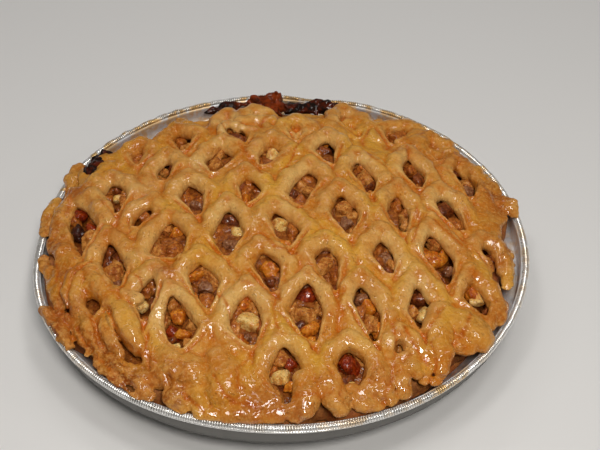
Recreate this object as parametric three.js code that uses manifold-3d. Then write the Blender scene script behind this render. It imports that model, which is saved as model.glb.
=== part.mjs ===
// A lattice-topped apple pie in its round aluminium foil tin.
// Millimetres, +Z up. The origin is the middle of the tin's underside, +X right, +Y to the back.
import * as THREE from 'three';
import { mergeVertices } from 'three/addons/utils/BufferGeometryUtils.js';
import Module from 'manifold-3d';

// ---- tin ----
const RIM_RADIUS = 122.5;
const TIN_HEIGHT = 29;
const BEAD_RADIUS = 2;
const FOIL = 0.6;
const BASE_RADIUS = 95;
const WALL_TOP_RADIUS = 114.6;
const LEDGE_HEIGHT = 17.8;
const COLLAR_RADIUS = 119.2;
const FOOT_ROUNDING = 3;
const SIDES = 48;
const BEAD_SIDES = 7;

// Places where the rim is bent inwards: azimuth and half width in degrees, depth in millimetres.
const RIM_DENTS = [
  { azimuth: 80, width: 7, depth: 4 },
  { azimuth: 174, width: 18, depth: 4.2 },
];
const DENT_FADE = 8;

// Shifts the rim's own centre so that the dented tin is still centred on the origin.
const RIM_SHIFT = -1.8;

// ---- pastry and filling ----
const GAP = 0.3;
const CRUST = 4;
const CRUST_EDGE_HEIGHT = 29.1;
const CRUST_EDGE_RADIUS = 116.6;
const CRUST_LIP = { out: 1.2, below: 2.6 };
const FILLING_GAP = 2 * GAP;
const FILLING_SHOULDER = 106;
const FILLING_ROUNDING = 1.2;
const FILLING_RINGS = 4;

// Profile points higher than this belong to the top of the filling.
const FILLING_TOP_FROM = 1.5 * TIN_HEIGHT;

// Where the lattice edge stands back, the crust below it has slumped inwards and down by less.
const SLUMP = { inwards: 0.45, down: 0.2, most: 4 };
const SLUMP_FROM_HEIGHT = LEDGE_HEIGHT + FOIL + 1.5 * GAP + CRUST;

// ---- lattice top ----
const SHEET_RADIUS = 118;
const EDGE_TOP = 32.8;
const DOME_RISE = 15.5;
const DOME_POWER = 2.5;
const THICKNESS = 6.6;
const UNDERSIDE_AT_EDGE = 29.4;
const UNEVENNESS = 1.1;
const UNEVEN_PHASE = 0.4;
const SHEET_REACH = 1.15;
const STRAND_WOBBLE = 0.5;
const WOBBLE_BY = { strand: 2.1, row: 3.3 };
const CREASE_DEPTH = 2.6;
const SIDE_DROP = 2.9;
const UNDERCUT = 0.9;
const SHOULDER = 0.3;
const LEAST_STRAND = { top: 2, side: 1 };

// The slow waves in the dome's height: how fast each one runs along x and y, and how large it is.
const WAVES = [
  { alongX: 0.061, alongY: 0.023, phase: 1, start: 0, size: 1 },
  { alongX: -0.031, alongY: 0.047, phase: 2.1, start: 1, size: 1 },
  { alongX: 0.113, alongY: 0.089, phase: 3.7, start: 2, size: 0.5 },
];

// The slit sheet is pulled open into rows of eye-shaped openings, each row half a step off the last.
const COLUMN_PITCH = 27.5;
const ROW_PITCH = 27.9;
const COLUMN_TURN = 11.5;
const ROW_TURN = 6.9;
const FIRST_OPENING = { x: 20.9, y: 78.5 };
const OPENING_WIDTH = 14.4;
const OPENING_REACH = { least: 0.3, more: 0.25 };
const NARROWEST_OPENING = 1.4;
const WIDEST_OPENNESS = 1.2;
const TIP_SHARPNESS = { front: 2, back: 1.5 };

// The sheet before it is trimmed: strands in half pitches, and steps along them.
const STRANDS = { from: -11, to: 9 };
const STEPS_PER_ROW = 5;
const STEPS = { from: -12, to: 48 };
const TUG_PASSES = 4;

// How far each opening is pulled apart: 1 is a full eye, 0 is baked shut. Each row runs left to
// right from the half column it starts at, and rows run from the back of the pie to the front.
const OPENINGS = [
  { start: -9, open: [0.8, 0.5, 0.6, 0.45, 0.35, 0, 0, 0] },
  { start: -8, open: [0.85, 0.6, 0.95, 0.75, 0.75, 0, 0, 0] },
  { start: -9, open: [1.1, 0.5, 0.8, 0.75, 1.05, 0.85, 0.8, 0.7] },
  { start: -8, open: [1, 1.15, 1.1, 1, 1.05, 0.95, 0.9, 0] },
  { start: -9, open: [0.35, 0.7, 1.05, 0.95, 0.95, 0.9, 0.9, 0.4] },
  { start: -8, open: [0.3, 1, 1.1, 1.2, 1.05, 1, 0.95, 0] },
  { start: -9, open: [0, 0.5, 0, 1.15, 1, 0.3, 0, 0] },
];

// Places where the sheet was tugged out of line: where, how far, and how wide an area.
const TUGS = [
  { x: -84, y: 16, dx: 2, dy: -8, width: 20 },
  { x: -42, y: 42, dx: -1, dy: 6, width: 20 },
  { x: -54, y: -16, dx: -4, dy: 5, width: 16 },
  { x: 92, y: 28, dx: -2, dy: -7, width: 18 },
  { x: 38, y: 14, dx: 1, dy: 4, width: 20 },
  { x: -46, y: -72, dx: -2, dy: 6, width: 18 },
  { x: 58, y: -62, dx: 0, dy: -5, width: 22 },
  { x: 26, y: -94, dx: 3, dy: -3, width: 18 },
  { x: 14, y: -38, dx: 0, dy: -4, width: 16 },
  { x: -96, y: -3, dx: -3, dy: 4, width: 12 },
];

// The sheet's ragged edge: where it stops short of the tin (or, below zero, laps over it).
const EDGE_SETBACKS = [
  { azimuth: -9, width: 14, depth: 5 },
  { azimuth: 7, width: 5, depth: -3 },
  { azimuth: 32, width: 7, depth: 6 },
  { azimuth: 54, width: 3, depth: 5 },
  { azimuth: 60, width: 9, depth: 10 },
  { azimuth: 73, width: 7, depth: 8 },
  { azimuth: 88, width: 15, depth: 20 },
  { azimuth: 108, width: 10, depth: 15 },
  { azimuth: 134, width: 13, depth: 14 },
  { azimuth: 154, width: 5, depth: -4 },
  { azimuth: 177, width: 9, depth: 3 },
  { azimuth: -140, width: 10, depth: -1.5 },
  { azimuth: -125, width: 8, depth: -3 },
  { azimuth: -117, width: 2, depth: 7 },
  { azimuth: -81, width: 2.5, depth: 10 },
  { azimuth: -60, width: 4, depth: 3 },
  { azimuth: -47, width: 3, depth: 7 },
  { azimuth: -28, width: 5, depth: -2.5 },
];
const OUTLINE_STEPS = 90;
const RAGGEDNESS = 0.9;
const RAGGED_WAVES = [
  { count: 17, start: 0 },
  { count: 41, start: 1 },
];

// Folded-back tongues and lumps of pastry on the sheet, as flattened mounds.
const FOLDS = [
  { x: 82, y: -66, length: 15, width: 11, height: 4.2, turn: 25, rise: -1.4 },
  { x: -90, y: -41, length: 19, width: 8, height: 4.6, turn: 103, rise: -1.8 },
  { x: -72, y: -66, length: 20, width: 8.5, height: 5, turn: 128, rise: -1.8 },
  { x: -76, y: -90, length: 17, width: 11, height: 4, turn: 125, rise: -1.2 },
  { x: -25, y: -101, length: 16, width: 10, height: 4, turn: 100, rise: -1.2 },
  { x: 111, y: 12, length: 10, width: 7, height: 4, turn: 82, rise: -0.6 },
];

// Pieces of apple that show in each opening.
const CHUNK_SIZE = { length: 11, width: 9.5, height: 8 };
const CHUNK_SCALE = { least: 0.8, more: 0.35 };
const CHUNK_CORNER = { least: 0.62, more: 0.38 };
const CHUNK_TILT = 0.8;
const CHUNK_DEPTH = { least: 6.4, more: 1.6 };
const CHUNK_SHRINK = { smallest: 0.45, step: 0.86 };
const CHUNK_SEED = 7;
const CHUNK_SPACING = 10;
const CHUNKS_PER_OPENING = 2;
const CHUNKS_WITHIN = 101;

// Juice that boiled over and burnt on at the rim: azimuth, distance out, and half sizes.
const BURNT_JUICE = {
  burnt_juice_back: [
    { azimuth: 93, out: 114.5, along: 12, across: 6, height: 4.6, rise: 31 },
    { azimuth: 103, out: 111.5, along: 12, across: 5, height: 3, rise: 30.4 },
    { azimuth: 85, out: 105, along: 14, across: 6.5, height: 3, rise: 30.4 },
    { azimuth: 77.5, out: 109, along: 8, across: 5, height: 3.6, rise: 30.6 },
  ],
  burnt_juice_left: [
    { azimuth: 147, out: 114, along: 9, across: 4.2, height: 3.2, rise: 30.6 },
  ],
};

const LOOKS = {
  foil_tin: { color: 0xb9b9b5, roughness: 0.3, metalness: 1 },
  pastry_shell: { color: 0xb4703a, roughness: 0.8, metalness: 0 },
  apple_filling: { color: 0x9a5426, roughness: 0.45, metalness: 0 },
  lattice_top: { color: 0xd0903f, roughness: 0.4, metalness: 0 },
  burnt_juice_back: { color: 0x2a0f08, roughness: 0.2, metalness: 0 },
  burnt_juice_left: { color: 0x2a0f08, roughness: 0.2, metalness: 0 },
};

// Vertices closer than this are one, and a volume smaller than this is none.
const SAME_POINT = 1e-4;
const NO_VOLUME = 1e-6;

const wasm = await Module();
wasm.setup();

const degrees = THREE.MathUtils.degToRad;

// ---- seeded chance and smooth unevenness ----

function makeRandom(seed) {
  let state = seed;
  return () => {
    state = (Math.imul(state, 1664525) + 1013904223) >>> 0;
    return state / 4294967296;
  };
}

// A slow wave over the pie, between about -1 and 1.
function wander(x, y) {
  let sum = 0;
  let most = 0;
  for (const wave of WAVES) {
    sum += wave.size * Math.sin(wave.alongX * x + wave.alongY * y + wave.phase * UNEVEN_PHASE + wave.start);
    most += wave.size;
  }
  return sum / most;
}

// The sum of some bumps round the rim, each falling off smoothly with azimuth.
function roundTheRim(bumps, azimuth) {
  let sum = 0;
  for (const bump of bumps) {
    const apart = THREE.MathUtils.euclideanModulo(azimuth - bump.azimuth + 180, 360) - 180;
    sum += bump.depth * Math.exp(-((apart / bump.width) ** 2));
  }
  return sum;
}

function azimuthOf(x, y) {
  return THREE.MathUtils.radToDeg(Math.atan2(y, x));
}

// ---- solids ----

function solidOf(geometry) {
  const bare = geometry.clone();
  bare.deleteAttribute('normal');
  bare.deleteAttribute('uv');
  const merged = mergeVertices(bare, SAME_POINT);
  const index = merged.index.array;
  const triangles = [];
  for (let i = 0; i < index.length; i += 3) {
    const corners = [index[i], index[i + 1], index[i + 2]];
    if (new Set(corners).size === 3) triangles.push(...corners);
  }
  return solidFrom(merged.attributes.position.array, triangles);
}

function solidFrom(positions, triangles) {
  const mesh = new wasm.Mesh({
    numProp: 3,
    vertProperties: Float32Array.from(positions),
    triVerts: Uint32Array.from(triangles),
  });
  return new wasm.Manifold(mesh);
}

function geometryOf(solid) {
  const mesh = solid.getMesh();
  const geometry = new THREE.BufferGeometry();
  geometry.setAttribute('position', new THREE.BufferAttribute(mesh.vertProperties, 3));
  geometry.setIndex(new THREE.BufferAttribute(mesh.triVerts, 1));
  geometry.computeVertexNormals();
  return geometry;
}

// The largest of a solid's separate pieces.
function largestPiece(solid) {
  return solid.decompose().reduce((best, piece) => (piece.volume() > best.volume() ? piece : best));
}

// Moves every vertex of a geometry by a function that changes a THREE.Vector3.
function reshape(geometry, change) {
  const position = geometry.attributes.position;
  const point = new THREE.Vector3();
  for (let i = 0; i < position.count; i += 1) {
    point.fromBufferAttribute(position, i);
    change(point);
    position.setXYZ(i, point.x, point.y, point.z);
  }
  return geometry;
}

// A solid of revolution about Z from (radius, height) pairs.
function latheAboutZ(profile, sides) {
  const points = profile.map(([radius, height]) => new THREE.Vector2(radius, height));
  const geometry = new THREE.LatheGeometry(points, sides);
  geometry.rotateX(Math.PI / 2);
  return geometry;
}

function moveOut(point, distance) {
  const radius = Math.hypot(point.x, point.y);
  if (radius < 1) return;
  const factor = (radius + distance) / radius;
  point.x *= factor;
  point.y *= factor;
}

// ---- tin ----

// Half of the tin's section from the axis to the end of the ledge, moved inwards by a distance.
function tinSection(distance) {
  const slope = Math.atan2(LEDGE_HEIGHT, WALL_TOP_RADIUS - BASE_RADIUS);
  const pullIn = distance * Math.tan(slope / 2);
  const foot = BASE_RADIUS - pullIn;
  return [
    [0, distance],
    [foot - FOOT_ROUNDING, distance],
    [foot + FOOT_ROUNDING * Math.cos(slope), distance + FOOT_ROUNDING * Math.sin(slope)],
    [WALL_TOP_RADIUS - pullIn, LEDGE_HEIGHT + distance],
    [COLLAR_RADIUS - distance, LEDGE_HEIGHT + distance],
  ];
}

// The rolled bead, from the collar's outer face round the top to its inner face.
function beadSection() {
  const middle = [RIM_RADIUS - BEAD_RADIUS, TIN_HEIGHT - BEAD_RADIUS];
  const toCollar = middle[0] - COLLAR_RADIUS;
  const from = -Math.PI + Math.acos(toCollar / BEAD_RADIUS);
  const to = Math.PI + Math.acos((toCollar + FOIL) / BEAD_RADIUS);
  const points = [];
  for (let i = 0; i <= BEAD_SIDES; i += 1) {
    const angle = from + ((to - from) * i) / BEAD_SIDES;
    points.push([middle[0] + BEAD_RADIUS * Math.cos(angle), middle[1] + BEAD_RADIUS * Math.sin(angle)]);
  }
  return points;
}

// The rim's dents, fading out down the wall.
function dentWithRim(point) {
  const height = Math.min(point.z / TIN_HEIGHT, 1);
  moveOut(point, -roundTheRim(RIM_DENTS, azimuthOf(point.x, point.y)) * height ** DENT_FADE);
}

function foilTin() {
  const outside = tinSection(0);
  const inside = tinSection(FOIL).reverse();
  const geometry = latheAboutZ([...outside, ...beadSection(), ...inside], SIDES);
  return solidOf(reshape(geometry, dentWithRim));
}

// ---- bottom crust ----

function slumpAt(point) {
  const setback = Math.max(0, roundTheRim(EDGE_SETBACKS, azimuthOf(point.x, point.y)));
  return Math.min(SLUMP.inwards * setback, SLUMP.most);
}

// Crust and filling give way above the ledge where the lattice stands back, and at the rim's dents.
function settle(point) {
  if (point.z > SLUMP_FROM_HEIGHT) {
    const amount = slumpAt(point);
    moveOut(point, -amount);
    point.z -= amount * SLUMP.down;
  }
  dentWithRim(point);
}

function pastryShell() {
  const outside = tinSection(FOIL + GAP);
  const inside = tinSection(FOIL + GAP + CRUST).slice(0, 4).reverse();
  const edge = [
    [CRUST_EDGE_RADIUS + CRUST_LIP.out, CRUST_EDGE_HEIGHT - CRUST_LIP.below],
    [CRUST_EDGE_RADIUS, CRUST_EDGE_HEIGHT],
    [CRUST_EDGE_RADIUS - CRUST, CRUST_EDGE_HEIGHT],
  ];
  const geometry = latheAboutZ([...outside, ...edge, ...inside], SIDES);
  return solidOf(reshape(geometry, settle));
}

// ---- lattice ----

function sheetTop(x, y) {
  const out = Math.min(Math.hypot(x, y) / SHEET_RADIUS, SHEET_REACH);
  const uneven = UNEVENNESS * wander(x, y) * Math.max(0, 1 - out ** 4);
  return EDGE_TOP + DOME_RISE * (1 - out ** DOME_POWER) + uneven;
}

function sheetUnderside(x, y) {
  return Math.max(sheetTop(x, y) - THICKNESS, UNDERSIDE_AT_EDGE);
}

// Where a point of the slit sheet lies: column in half pitches to the right, row towards the front.
function place(column, row) {
  const across = (column / 2) * COLUMN_PITCH;
  const along = row * ROW_PITCH;
  const columnTurn = degrees(COLUMN_TURN);
  const rowTurn = degrees(ROW_TURN);
  const x = FIRST_OPENING.x + across * Math.cos(columnTurn) + along * Math.sin(rowTurn);
  const y = FIRST_OPENING.y + across * Math.sin(columnTurn) - along * Math.cos(rowTurn);
  const point = { x, y };
  for (let pass = 0; pass < TUG_PASSES; pass += 1) {
    let dx = 0;
    let dy = 0;
    for (const tug of TUGS) {
      const near = Math.exp(-((point.x - tug.x) ** 2 + (point.y - tug.y) ** 2) / (2 * tug.width ** 2));
      dx += tug.dx * near;
      dy += tug.dy * near;
    }
    point.x = x + dx;
    point.y = y + dy;
  }
  return point;
}

function opennessOf(column, row) {
  const line = OPENINGS[row];
  if (!line) return 0;
  return line.open[(column - line.start) / 2] ?? 0;
}

// Half the width, in half pitches, that the slit in a column line is pulled open at a given row.
function halfOpening(column, row, grow) {
  const odd = Math.abs(column % 2);
  const middle = odd ? 2 * Math.round(row / 2) : 2 * Math.round((row - 1) / 2) + 1;
  const openness = opennessOf(column, middle);
  if (openness <= 0) return 0;
  const reach = OPENING_REACH.least + OPENING_REACH.more * openness;
  const along = Math.abs(row - middle) / reach;
  if (along >= 1) return 0;
  const sharpness = row > middle ? TIP_SHARPNESS.front : TIP_SHARPNESS.back;
  const width = OPENING_WIDTH * Math.min(openness, WIDEST_OPENNESS) * (1 - along ** sharpness);
  return width > NARROWEST_OPENING ? (width - 2 * grow) / COLUMN_PITCH : 0;
}

// The pulled sheet as strands side by side: each has two sides, a rounded top and a flat underside.
function pulledSheet(grow) {
  const positions = [];
  const triangles = [];
  const known = new Map();

  function vertex(name, column, row, height) {
    if (!known.has(name)) {
      const { x, y } = place(column, row);
      known.set(name, positions.length / 3);
      positions.push(x, y, height(x, y));
    }
    return known.get(name);
  }

  // A strand's section at one step: left side, two shoulders, right side, right and left underside.
  function section(strand, step) {
    const row = step / STEPS_PER_ROW;
    const leftOpening = halfOpening(strand, row, grow);
    const rightOpening = halfOpening(strand + 1, row, grow);
    const left = strand + leftOpening;
    const right = strand + 1 - rightOpening;
    const wobble = STRAND_WOBBLE * Math.sin(WOBBLE_BY.strand * strand + WOBBLE_BY.row * row);
    const under = (x, y) => sheetUnderside(x, y) - grow;
    const leastTop = UNDERSIDE_AT_EDGE + LEAST_STRAND.top;
    const leastSide = UNDERSIDE_AT_EDGE + LEAST_STRAND.side;
    const top = (x, y) => Math.max(sheetTop(x, y) + wobble, leastTop) + grow;
    const drop = (opening) => (opening > 0 ? SIDE_DROP : CREASE_DEPTH);
    const side = (opening) => (x, y) => Math.max(sheetTop(x, y) - drop(opening), leastSide) + grow;
    const tuck = UNDERCUT / (COLUMN_PITCH / 2);
    const tuckLeft = leftOpening > 0 ? tuck : 0;
    const tuckRight = rightOpening > 0 ? tuck : 0;
    const leftName = leftOpening > 0 ? `${strand}r,${step}` : `${strand},${step}`;
    const rightName = rightOpening > 0 ? `${strand + 1}l,${step}` : `${strand + 1},${step}`;
    const shoulder = SHOULDER * (right - left);
    return {
      openLeft: leftOpening > 0,
      openRight: rightOpening > 0,
      ring: [
        vertex(`${leftName} side`, left, row, side(leftOpening)),
        vertex(`${strand},${step} left shoulder`, left + shoulder, row, top),
        vertex(`${strand},${step} right shoulder`, right - shoulder, row, top),
        vertex(`${rightName} side`, right, row, side(rightOpening)),
        vertex(`${rightName} under`, right - tuckRight, row, under),
        vertex(`${leftName} under`, left + tuckLeft, row, under),
      ],
    };
  }

  function quad(a, b, c, d) {
    triangles.push(a, b, c, a, c, d);
  }

  for (let strand = STRANDS.from; strand < STRANDS.to; strand += 1) {
    for (let step = STEPS.from; step < STEPS.to; step += 1) {
      const near = section(strand, step);
      const far = section(strand, step + 1);
      const a = near.ring;
      const b = far.ring;
      for (let i = 0; i < 3; i += 1) quad(a[i], b[i], b[i + 1], a[i + 1]);
      quad(a[4], b[4], b[5], a[5]);
      const leftWall = strand === STRANDS.from || near.openLeft || far.openLeft;
      const rightWall = strand === STRANDS.to - 1 || near.openRight || far.openRight;
      if (leftWall) quad(b[0], a[0], a[5], b[5]);
      if (rightWall) quad(a[3], b[3], b[4], a[4]);
    }
    const first = section(strand, STEPS.from).ring;
    const last = section(strand, STEPS.to).ring;
    for (let i = 1; i < 5; i += 1) {
      triangles.push(first[0], first[i], first[i + 1]);
      triangles.push(last[0], last[i + 1], last[i]);
    }
  }
  return solidFrom(positions, triangles);
}

// The ragged outline that the sheet is trimmed to.
function trimmingPrism(grow) {
  const shape = new THREE.Shape();
  for (let i = 0; i < OUTLINE_STEPS; i += 1) {
    const azimuth = (360 * i) / OUTLINE_STEPS;
    let ragged = 0;
    for (const { count, start } of RAGGED_WAVES) {
      ragged += (RAGGEDNESS * Math.sin(count * degrees(azimuth) + start)) / RAGGED_WAVES.length;
    }
    const radius = SHEET_RADIUS - roundTheRim(EDGE_SETBACKS, azimuth) - ragged + grow;
    const x = radius * Math.cos(degrees(azimuth));
    const y = radius * Math.sin(degrees(azimuth));
    if (i === 0) shape.moveTo(x, y);
    else shape.lineTo(x, y);
  }
  shape.closePath();
  return solidOf(new THREE.ExtrudeGeometry(shape, { depth: 3 * TIN_HEIGHT, bevelEnabled: false }));
}

function mound(fold, grow) {
  const geometry = new THREE.IcosahedronGeometry(1, 1);
  geometry.scale(fold.length + grow, fold.width + grow, fold.height + grow);
  geometry.rotateZ(degrees(fold.turn));
  geometry.translate(fold.x, fold.y, sheetTop(fold.x, fold.y) + fold.rise);
  return solidOf(geometry);
}

// Everything above the level that pastry may reach down to at the rim.
function aboveTheRim(level) {
  const geometry = new THREE.BoxGeometry(3 * RIM_RADIUS, 3 * RIM_RADIUS, 2 * TIN_HEIGHT);
  geometry.translate(0, 0, level + TIN_HEIGHT);
  return solidOf(geometry);
}

function latticeTop(grow) {
  let sheet = pulledSheet(grow).intersect(trimmingPrism(grow));
  for (const fold of FOLDS) sheet = sheet.add(mound(fold, grow));
  return largestPiece(sheet.intersect(aboveTheRim(UNDERSIDE_AT_EDGE - grow)));
}

// ---- filling ----

function fillingCore(grow) {
  const outside = tinSection(FOIL + FILLING_GAP + CRUST).slice(0, 4);
  const [radius, height] = outside.pop();
  const shoulder = [CRUST_EDGE_RADIUS - CRUST - 2 * FILLING_ROUNDING, CRUST_EDGE_HEIGHT - 1];
  const profile = [...outside, [radius - FILLING_ROUNDING, height - FILLING_ROUNDING], shoulder];
  for (let ring = FILLING_RINGS; ring >= 0; ring -= 1) {
    profile.push([(FILLING_SHOULDER * ring) / FILLING_RINGS, 2 * TIN_HEIGHT]);
  }
  const geometry = latheAboutZ(profile, SIDES);
  return solidOf(reshape(geometry, (point) => {
    if (point.z > FILLING_TOP_FROM) point.z = sheetUnderside(point.x, point.y) - FILLING_GAP;
    settle(point);
    moveOut(point, grow);
    point.z += grow;
  }));
}

function appleChunk(x, y, random) {
  const { length, width, height } = CHUNK_SIZE;
  const size = CHUNK_SCALE.least + CHUNK_SCALE.more * random();
  const geometry = new THREE.BoxGeometry(length * size, width * size, height);
  const bend = new Map();
  reshape(geometry, (corner) => {
    const name = [corner.x > 0, corner.y > 0, corner.z > 0].join();
    if (!bend.has(name)) bend.set(name, CHUNK_CORNER.least + CHUNK_CORNER.more * random());
    corner.multiplyScalar(bend.get(name));
  });
  geometry.rotateX(CHUNK_TILT * (random() - 0.5));
  geometry.rotateY(CHUNK_TILT * (random() - 0.5));
  geometry.rotateZ(Math.PI * random());
  const depth = CHUNK_DEPTH.least + CHUNK_DEPTH.more * random();
  return { geometry, middle: [x, y, sheetTop(x, y) - depth] };
}

// The chunk at its place, made smaller until it is clear of the lattice, or null.
function fittedChunk(chunk, keepClear) {
  const [x, y, z] = chunk.middle;
  for (let size = 1; size > CHUNK_SHRINK.smallest; size *= CHUNK_SHRINK.step) {
    const geometry = chunk.geometry.clone();
    geometry.scale(size, size, size);
    geometry.translate(x, y, z);
    const solid = solidOf(geometry);
    if (solid.intersect(keepClear).volume() < NO_VOLUME) return solid;
  }
  return null;
}

function appleFilling(keepClear) {
  const random = makeRandom(CHUNK_SEED);
  let filling = fillingCore(0);
  OPENINGS.forEach((line, row) => {
    line.open.forEach((openness, i) => {
      const count = Math.round(CHUNKS_PER_OPENING * openness);
      for (let n = 0; n < count; n += 1) {
        const along = row + ((n - (count - 1) / 2) * CHUNK_SPACING) / ROW_PITCH;
        const { x, y } = place(line.start + 2 * i, along);
        const solid = fittedChunk(appleChunk(x, y, random), keepClear);
        if (solid && Math.hypot(x, y) < CHUNKS_WITHIN) filling = filling.add(solid);
      }
    });
  });
  return largestPiece(filling);
}

// ---- burnt juice ----

function burntJuice(lumps, keepClear) {
  let juice = null;
  for (const lump of lumps) {
    const geometry = new THREE.IcosahedronGeometry(1, 1);
    geometry.scale(lump.across, lump.along, lump.height);
    geometry.translate(lump.out, 0, lump.rise);
    geometry.rotateZ(degrees(lump.azimuth));
    const solid = solidOf(geometry);
    juice = juice ? juice.add(solid) : solid;
  }
  const cleared = juice.intersect(aboveTheRim(CRUST_EDGE_HEIGHT + GAP)).subtract(keepClear);
  return largestPiece(cleared);
}

// ---- the pie ----

function named(name, solid) {
  const mesh = new THREE.Mesh(geometryOf(solid), new THREE.MeshStandardMaterial(LOOKS[name]));
  mesh.name = name;
  return mesh;
}

const keepClear = latticeTop(GAP);
const juiceKeepsClear = keepClear.add(fillingCore(GAP));
const pie = new THREE.Group();
pie.position.x = RIM_SHIFT;
pie.add(named('foil_tin', foilTin()));
pie.add(named('pastry_shell', pastryShell()));
pie.add(named('apple_filling', appleFilling(keepClear)));
pie.add(named('lattice_top', latticeTop(0)));
for (const [name, lumps] of Object.entries(BURNT_JUICE)) {
  pie.add(named(name, burntJuice(lumps, juiceKeepsClear)));
}

export default pie;
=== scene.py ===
"""The looks of a lattice-topped apple pie in its foil tin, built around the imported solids.

Shapes are worked out in millimetres from the axis of the tin's rim, then put in the frame's metres."""

import itertools
import math

import bpy
import numpy as np
import openvdb as vdb
from mathutils import Matrix, Vector


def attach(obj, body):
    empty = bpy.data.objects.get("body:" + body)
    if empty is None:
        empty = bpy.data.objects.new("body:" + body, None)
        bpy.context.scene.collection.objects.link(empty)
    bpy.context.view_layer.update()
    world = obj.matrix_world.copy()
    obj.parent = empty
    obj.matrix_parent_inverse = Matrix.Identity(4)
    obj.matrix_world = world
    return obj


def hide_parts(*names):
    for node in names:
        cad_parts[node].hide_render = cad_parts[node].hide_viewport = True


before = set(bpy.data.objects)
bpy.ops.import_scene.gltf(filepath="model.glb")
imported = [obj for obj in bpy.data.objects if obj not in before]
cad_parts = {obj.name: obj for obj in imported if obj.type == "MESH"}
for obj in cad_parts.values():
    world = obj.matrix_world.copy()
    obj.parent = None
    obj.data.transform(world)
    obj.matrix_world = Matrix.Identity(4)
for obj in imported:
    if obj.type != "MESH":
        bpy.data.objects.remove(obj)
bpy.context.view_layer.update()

# ---- sizes shared with the solids, in millimetres and degrees ----
RIM_RADIUS = 122.5
TIN_HEIGHT = 29.0
FOIL = 0.6
BASE_RADIUS = 95.0
WALL_TOP_RADIUS = 114.6
LEDGE_HEIGHT = 17.8
COLLAR_RADIUS = 119.2
RIM_DENTS = [(80, 7, 4), (174, 18, 4.2), (-98, 22, 3.0)]
DENT_FADE = 8

# Where the rim's axis is in the frame's x, and the metres in a millimetre.
RIM_SHIFT = -1.8
MM = 0.001

# Nothing within this radius is dented, fluted or crumbled.
MIDDLE = 60

CRUST = 4.0
CRUST_GAP = 0.3
CRUST_EDGE_HEIGHT = 29.1
CRUST_EDGE_RADIUS = 116.6

SHEET_RADIUS = 118.0
EDGE_TOP = 32.8
DOME_RISE = 15.5
DOME_POWER = 2.5
THICKNESS = 6.6
UNDERSIDE_AT_EDGE = 29.4
UNEVENNESS = 1.1
COLUMN_PITCH = 27.5
ROW_PITCH = 27.9
COLUMN_TURN = 11.5
ROW_TURN = 6.9
FIRST_OPENING = (20.9, 78.5)

# The sheet's openings: each one's back tip, left corner, front tip and right corner.
OPENINGS = [
    ((-73, 62), (-78, 57), (-73, 48), (-68, 55)), ((-54, 75), (-56, 68), (-50, 57), (-44, 68)),
    ((-26, 74), (-28, 69), (-18, 60), (-15, 66)), ((68, 81), (56, 75), (60, 63), (72, 76)),
    ((-85, 33), (-90, 22), (-80, 8), (-76, 22)), ((-58, 48), (-62, 38), (-59, 30), (-53, 42)),
    ((-29, 59), (-38, 43), (-33, 34), (-20, 49)), ((-4, 58), (-10, 45), (-8, 38), (3, 49)),
    ((26, 62), (18, 51), (27, 41), (30, 55)), ((-102, 21), (-105, 8), (-94, -21), (-89, 0)),
    ((-64, 9), (-71, 1), (-71, -5), (-62, 3)), ((-45, 26), (-50, 14), (-39, 1), (-37, 17)),
    ((-16, 28), (-20, 22), (-15, 7), (-8, 14)), ((15, 33), (4, 12), (10, 5), (21, 23)),
    ((41, 44), (37, 32), (46, 16), (49, 26)), ((68, 49), (63, 35), (71, 23), (74, 30)),
    ((94, 50), (90, 40), (97, 21), (101, 32)), ((-82, -12), (-84, -30), (-75, -46), (-72, -34)),
    ((-53, -2), (-63, -27), (-48, -30), (-44, -15)), ((-25, 4), (-32, -16), (-24, -29), (-17, -13)),
    ((-1, 1), (-5, -7), (4, -25), (11, -15)), ((31, 13), (25, -2), (34, -16), (39, -1)),
    ((59, 17), (53, 1), (60, -13), (64, 2)), ((82, 18), (77, 9), (89, -6), (89, 6)),
    ((-87, -47), (-90, -52), (-85, -59), (-82, -55)), ((-59, -40), (-67, -51), (-61, -65), (-57, -46)),
    ((-37, -33), (-44, -42), (-33, -61), (-27, -46)), ((-8, -28), (-13, -36), (-2, -52), (1, -37)),
    ((22, -25), (15, -33), (25, -52), (28, -33)), ((49, -17), (43, -29), (52, -40), (54, -32)),
    ((74, -11), (67, -24), (78, -43), (83, -28)), ((99, -15), (97, -20), (102, -29), (104, -21)),
    ((-50, -52), (-52, -71), (-44, -81), (-36, -72)), ((-15, -52), (-24, -71), (-13, -82), (-8, -69)),
    ((13, -47), (2, -64), (14, -80), (19, -64)), ((38, -47), (33, -60), (42, -78), (45, -66)),
    ((64, -44), (58, -62), (64, -72), (71, -58)), ((90, -39), (84, -53), (94, -60), (96, -53)),
    ((1, -81), (-6, -97), (3, -110), (10, -94)), ((30, -84), (23, -92), (30, -106), (39, -92)),
    ((53, -79), (51, -83), (53, -86), (56, -83)), ((-12, 89), (-14, 84), (-10, 80), (-8, 84)),
]

# Openings that the pastry has closed over, which are only dented.
CLOSED = [
    ((-27, 86), (-31, 79), (-26, 72), (-21, 78)), ((10, 77), (5, 70), (10, 62), (15, 70)),
    ((37, 94), (33, 83), (43, 67), (46, 76)), ((82, 68), (78, 60), (84, 50), (88, 58)),
]

# Places where the sheet was tugged out of line: x, y, how far in x and y, and how wide an area.
TUGS = [
    (-84, 16, 2, -8, 20), (-42, 42, -1, 6, 20), (-54, -16, -4, 5, 16), (92, 28, -2, -7, 18),
    (38, 14, 1, 4, 20), (-46, -72, -2, 6, 18), (58, -62, 0, -5, 22), (26, -94, 3, -3, 18),
    (14, -38, 0, -4, 16), (-96, -3, -3, 4, 12),
]

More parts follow.
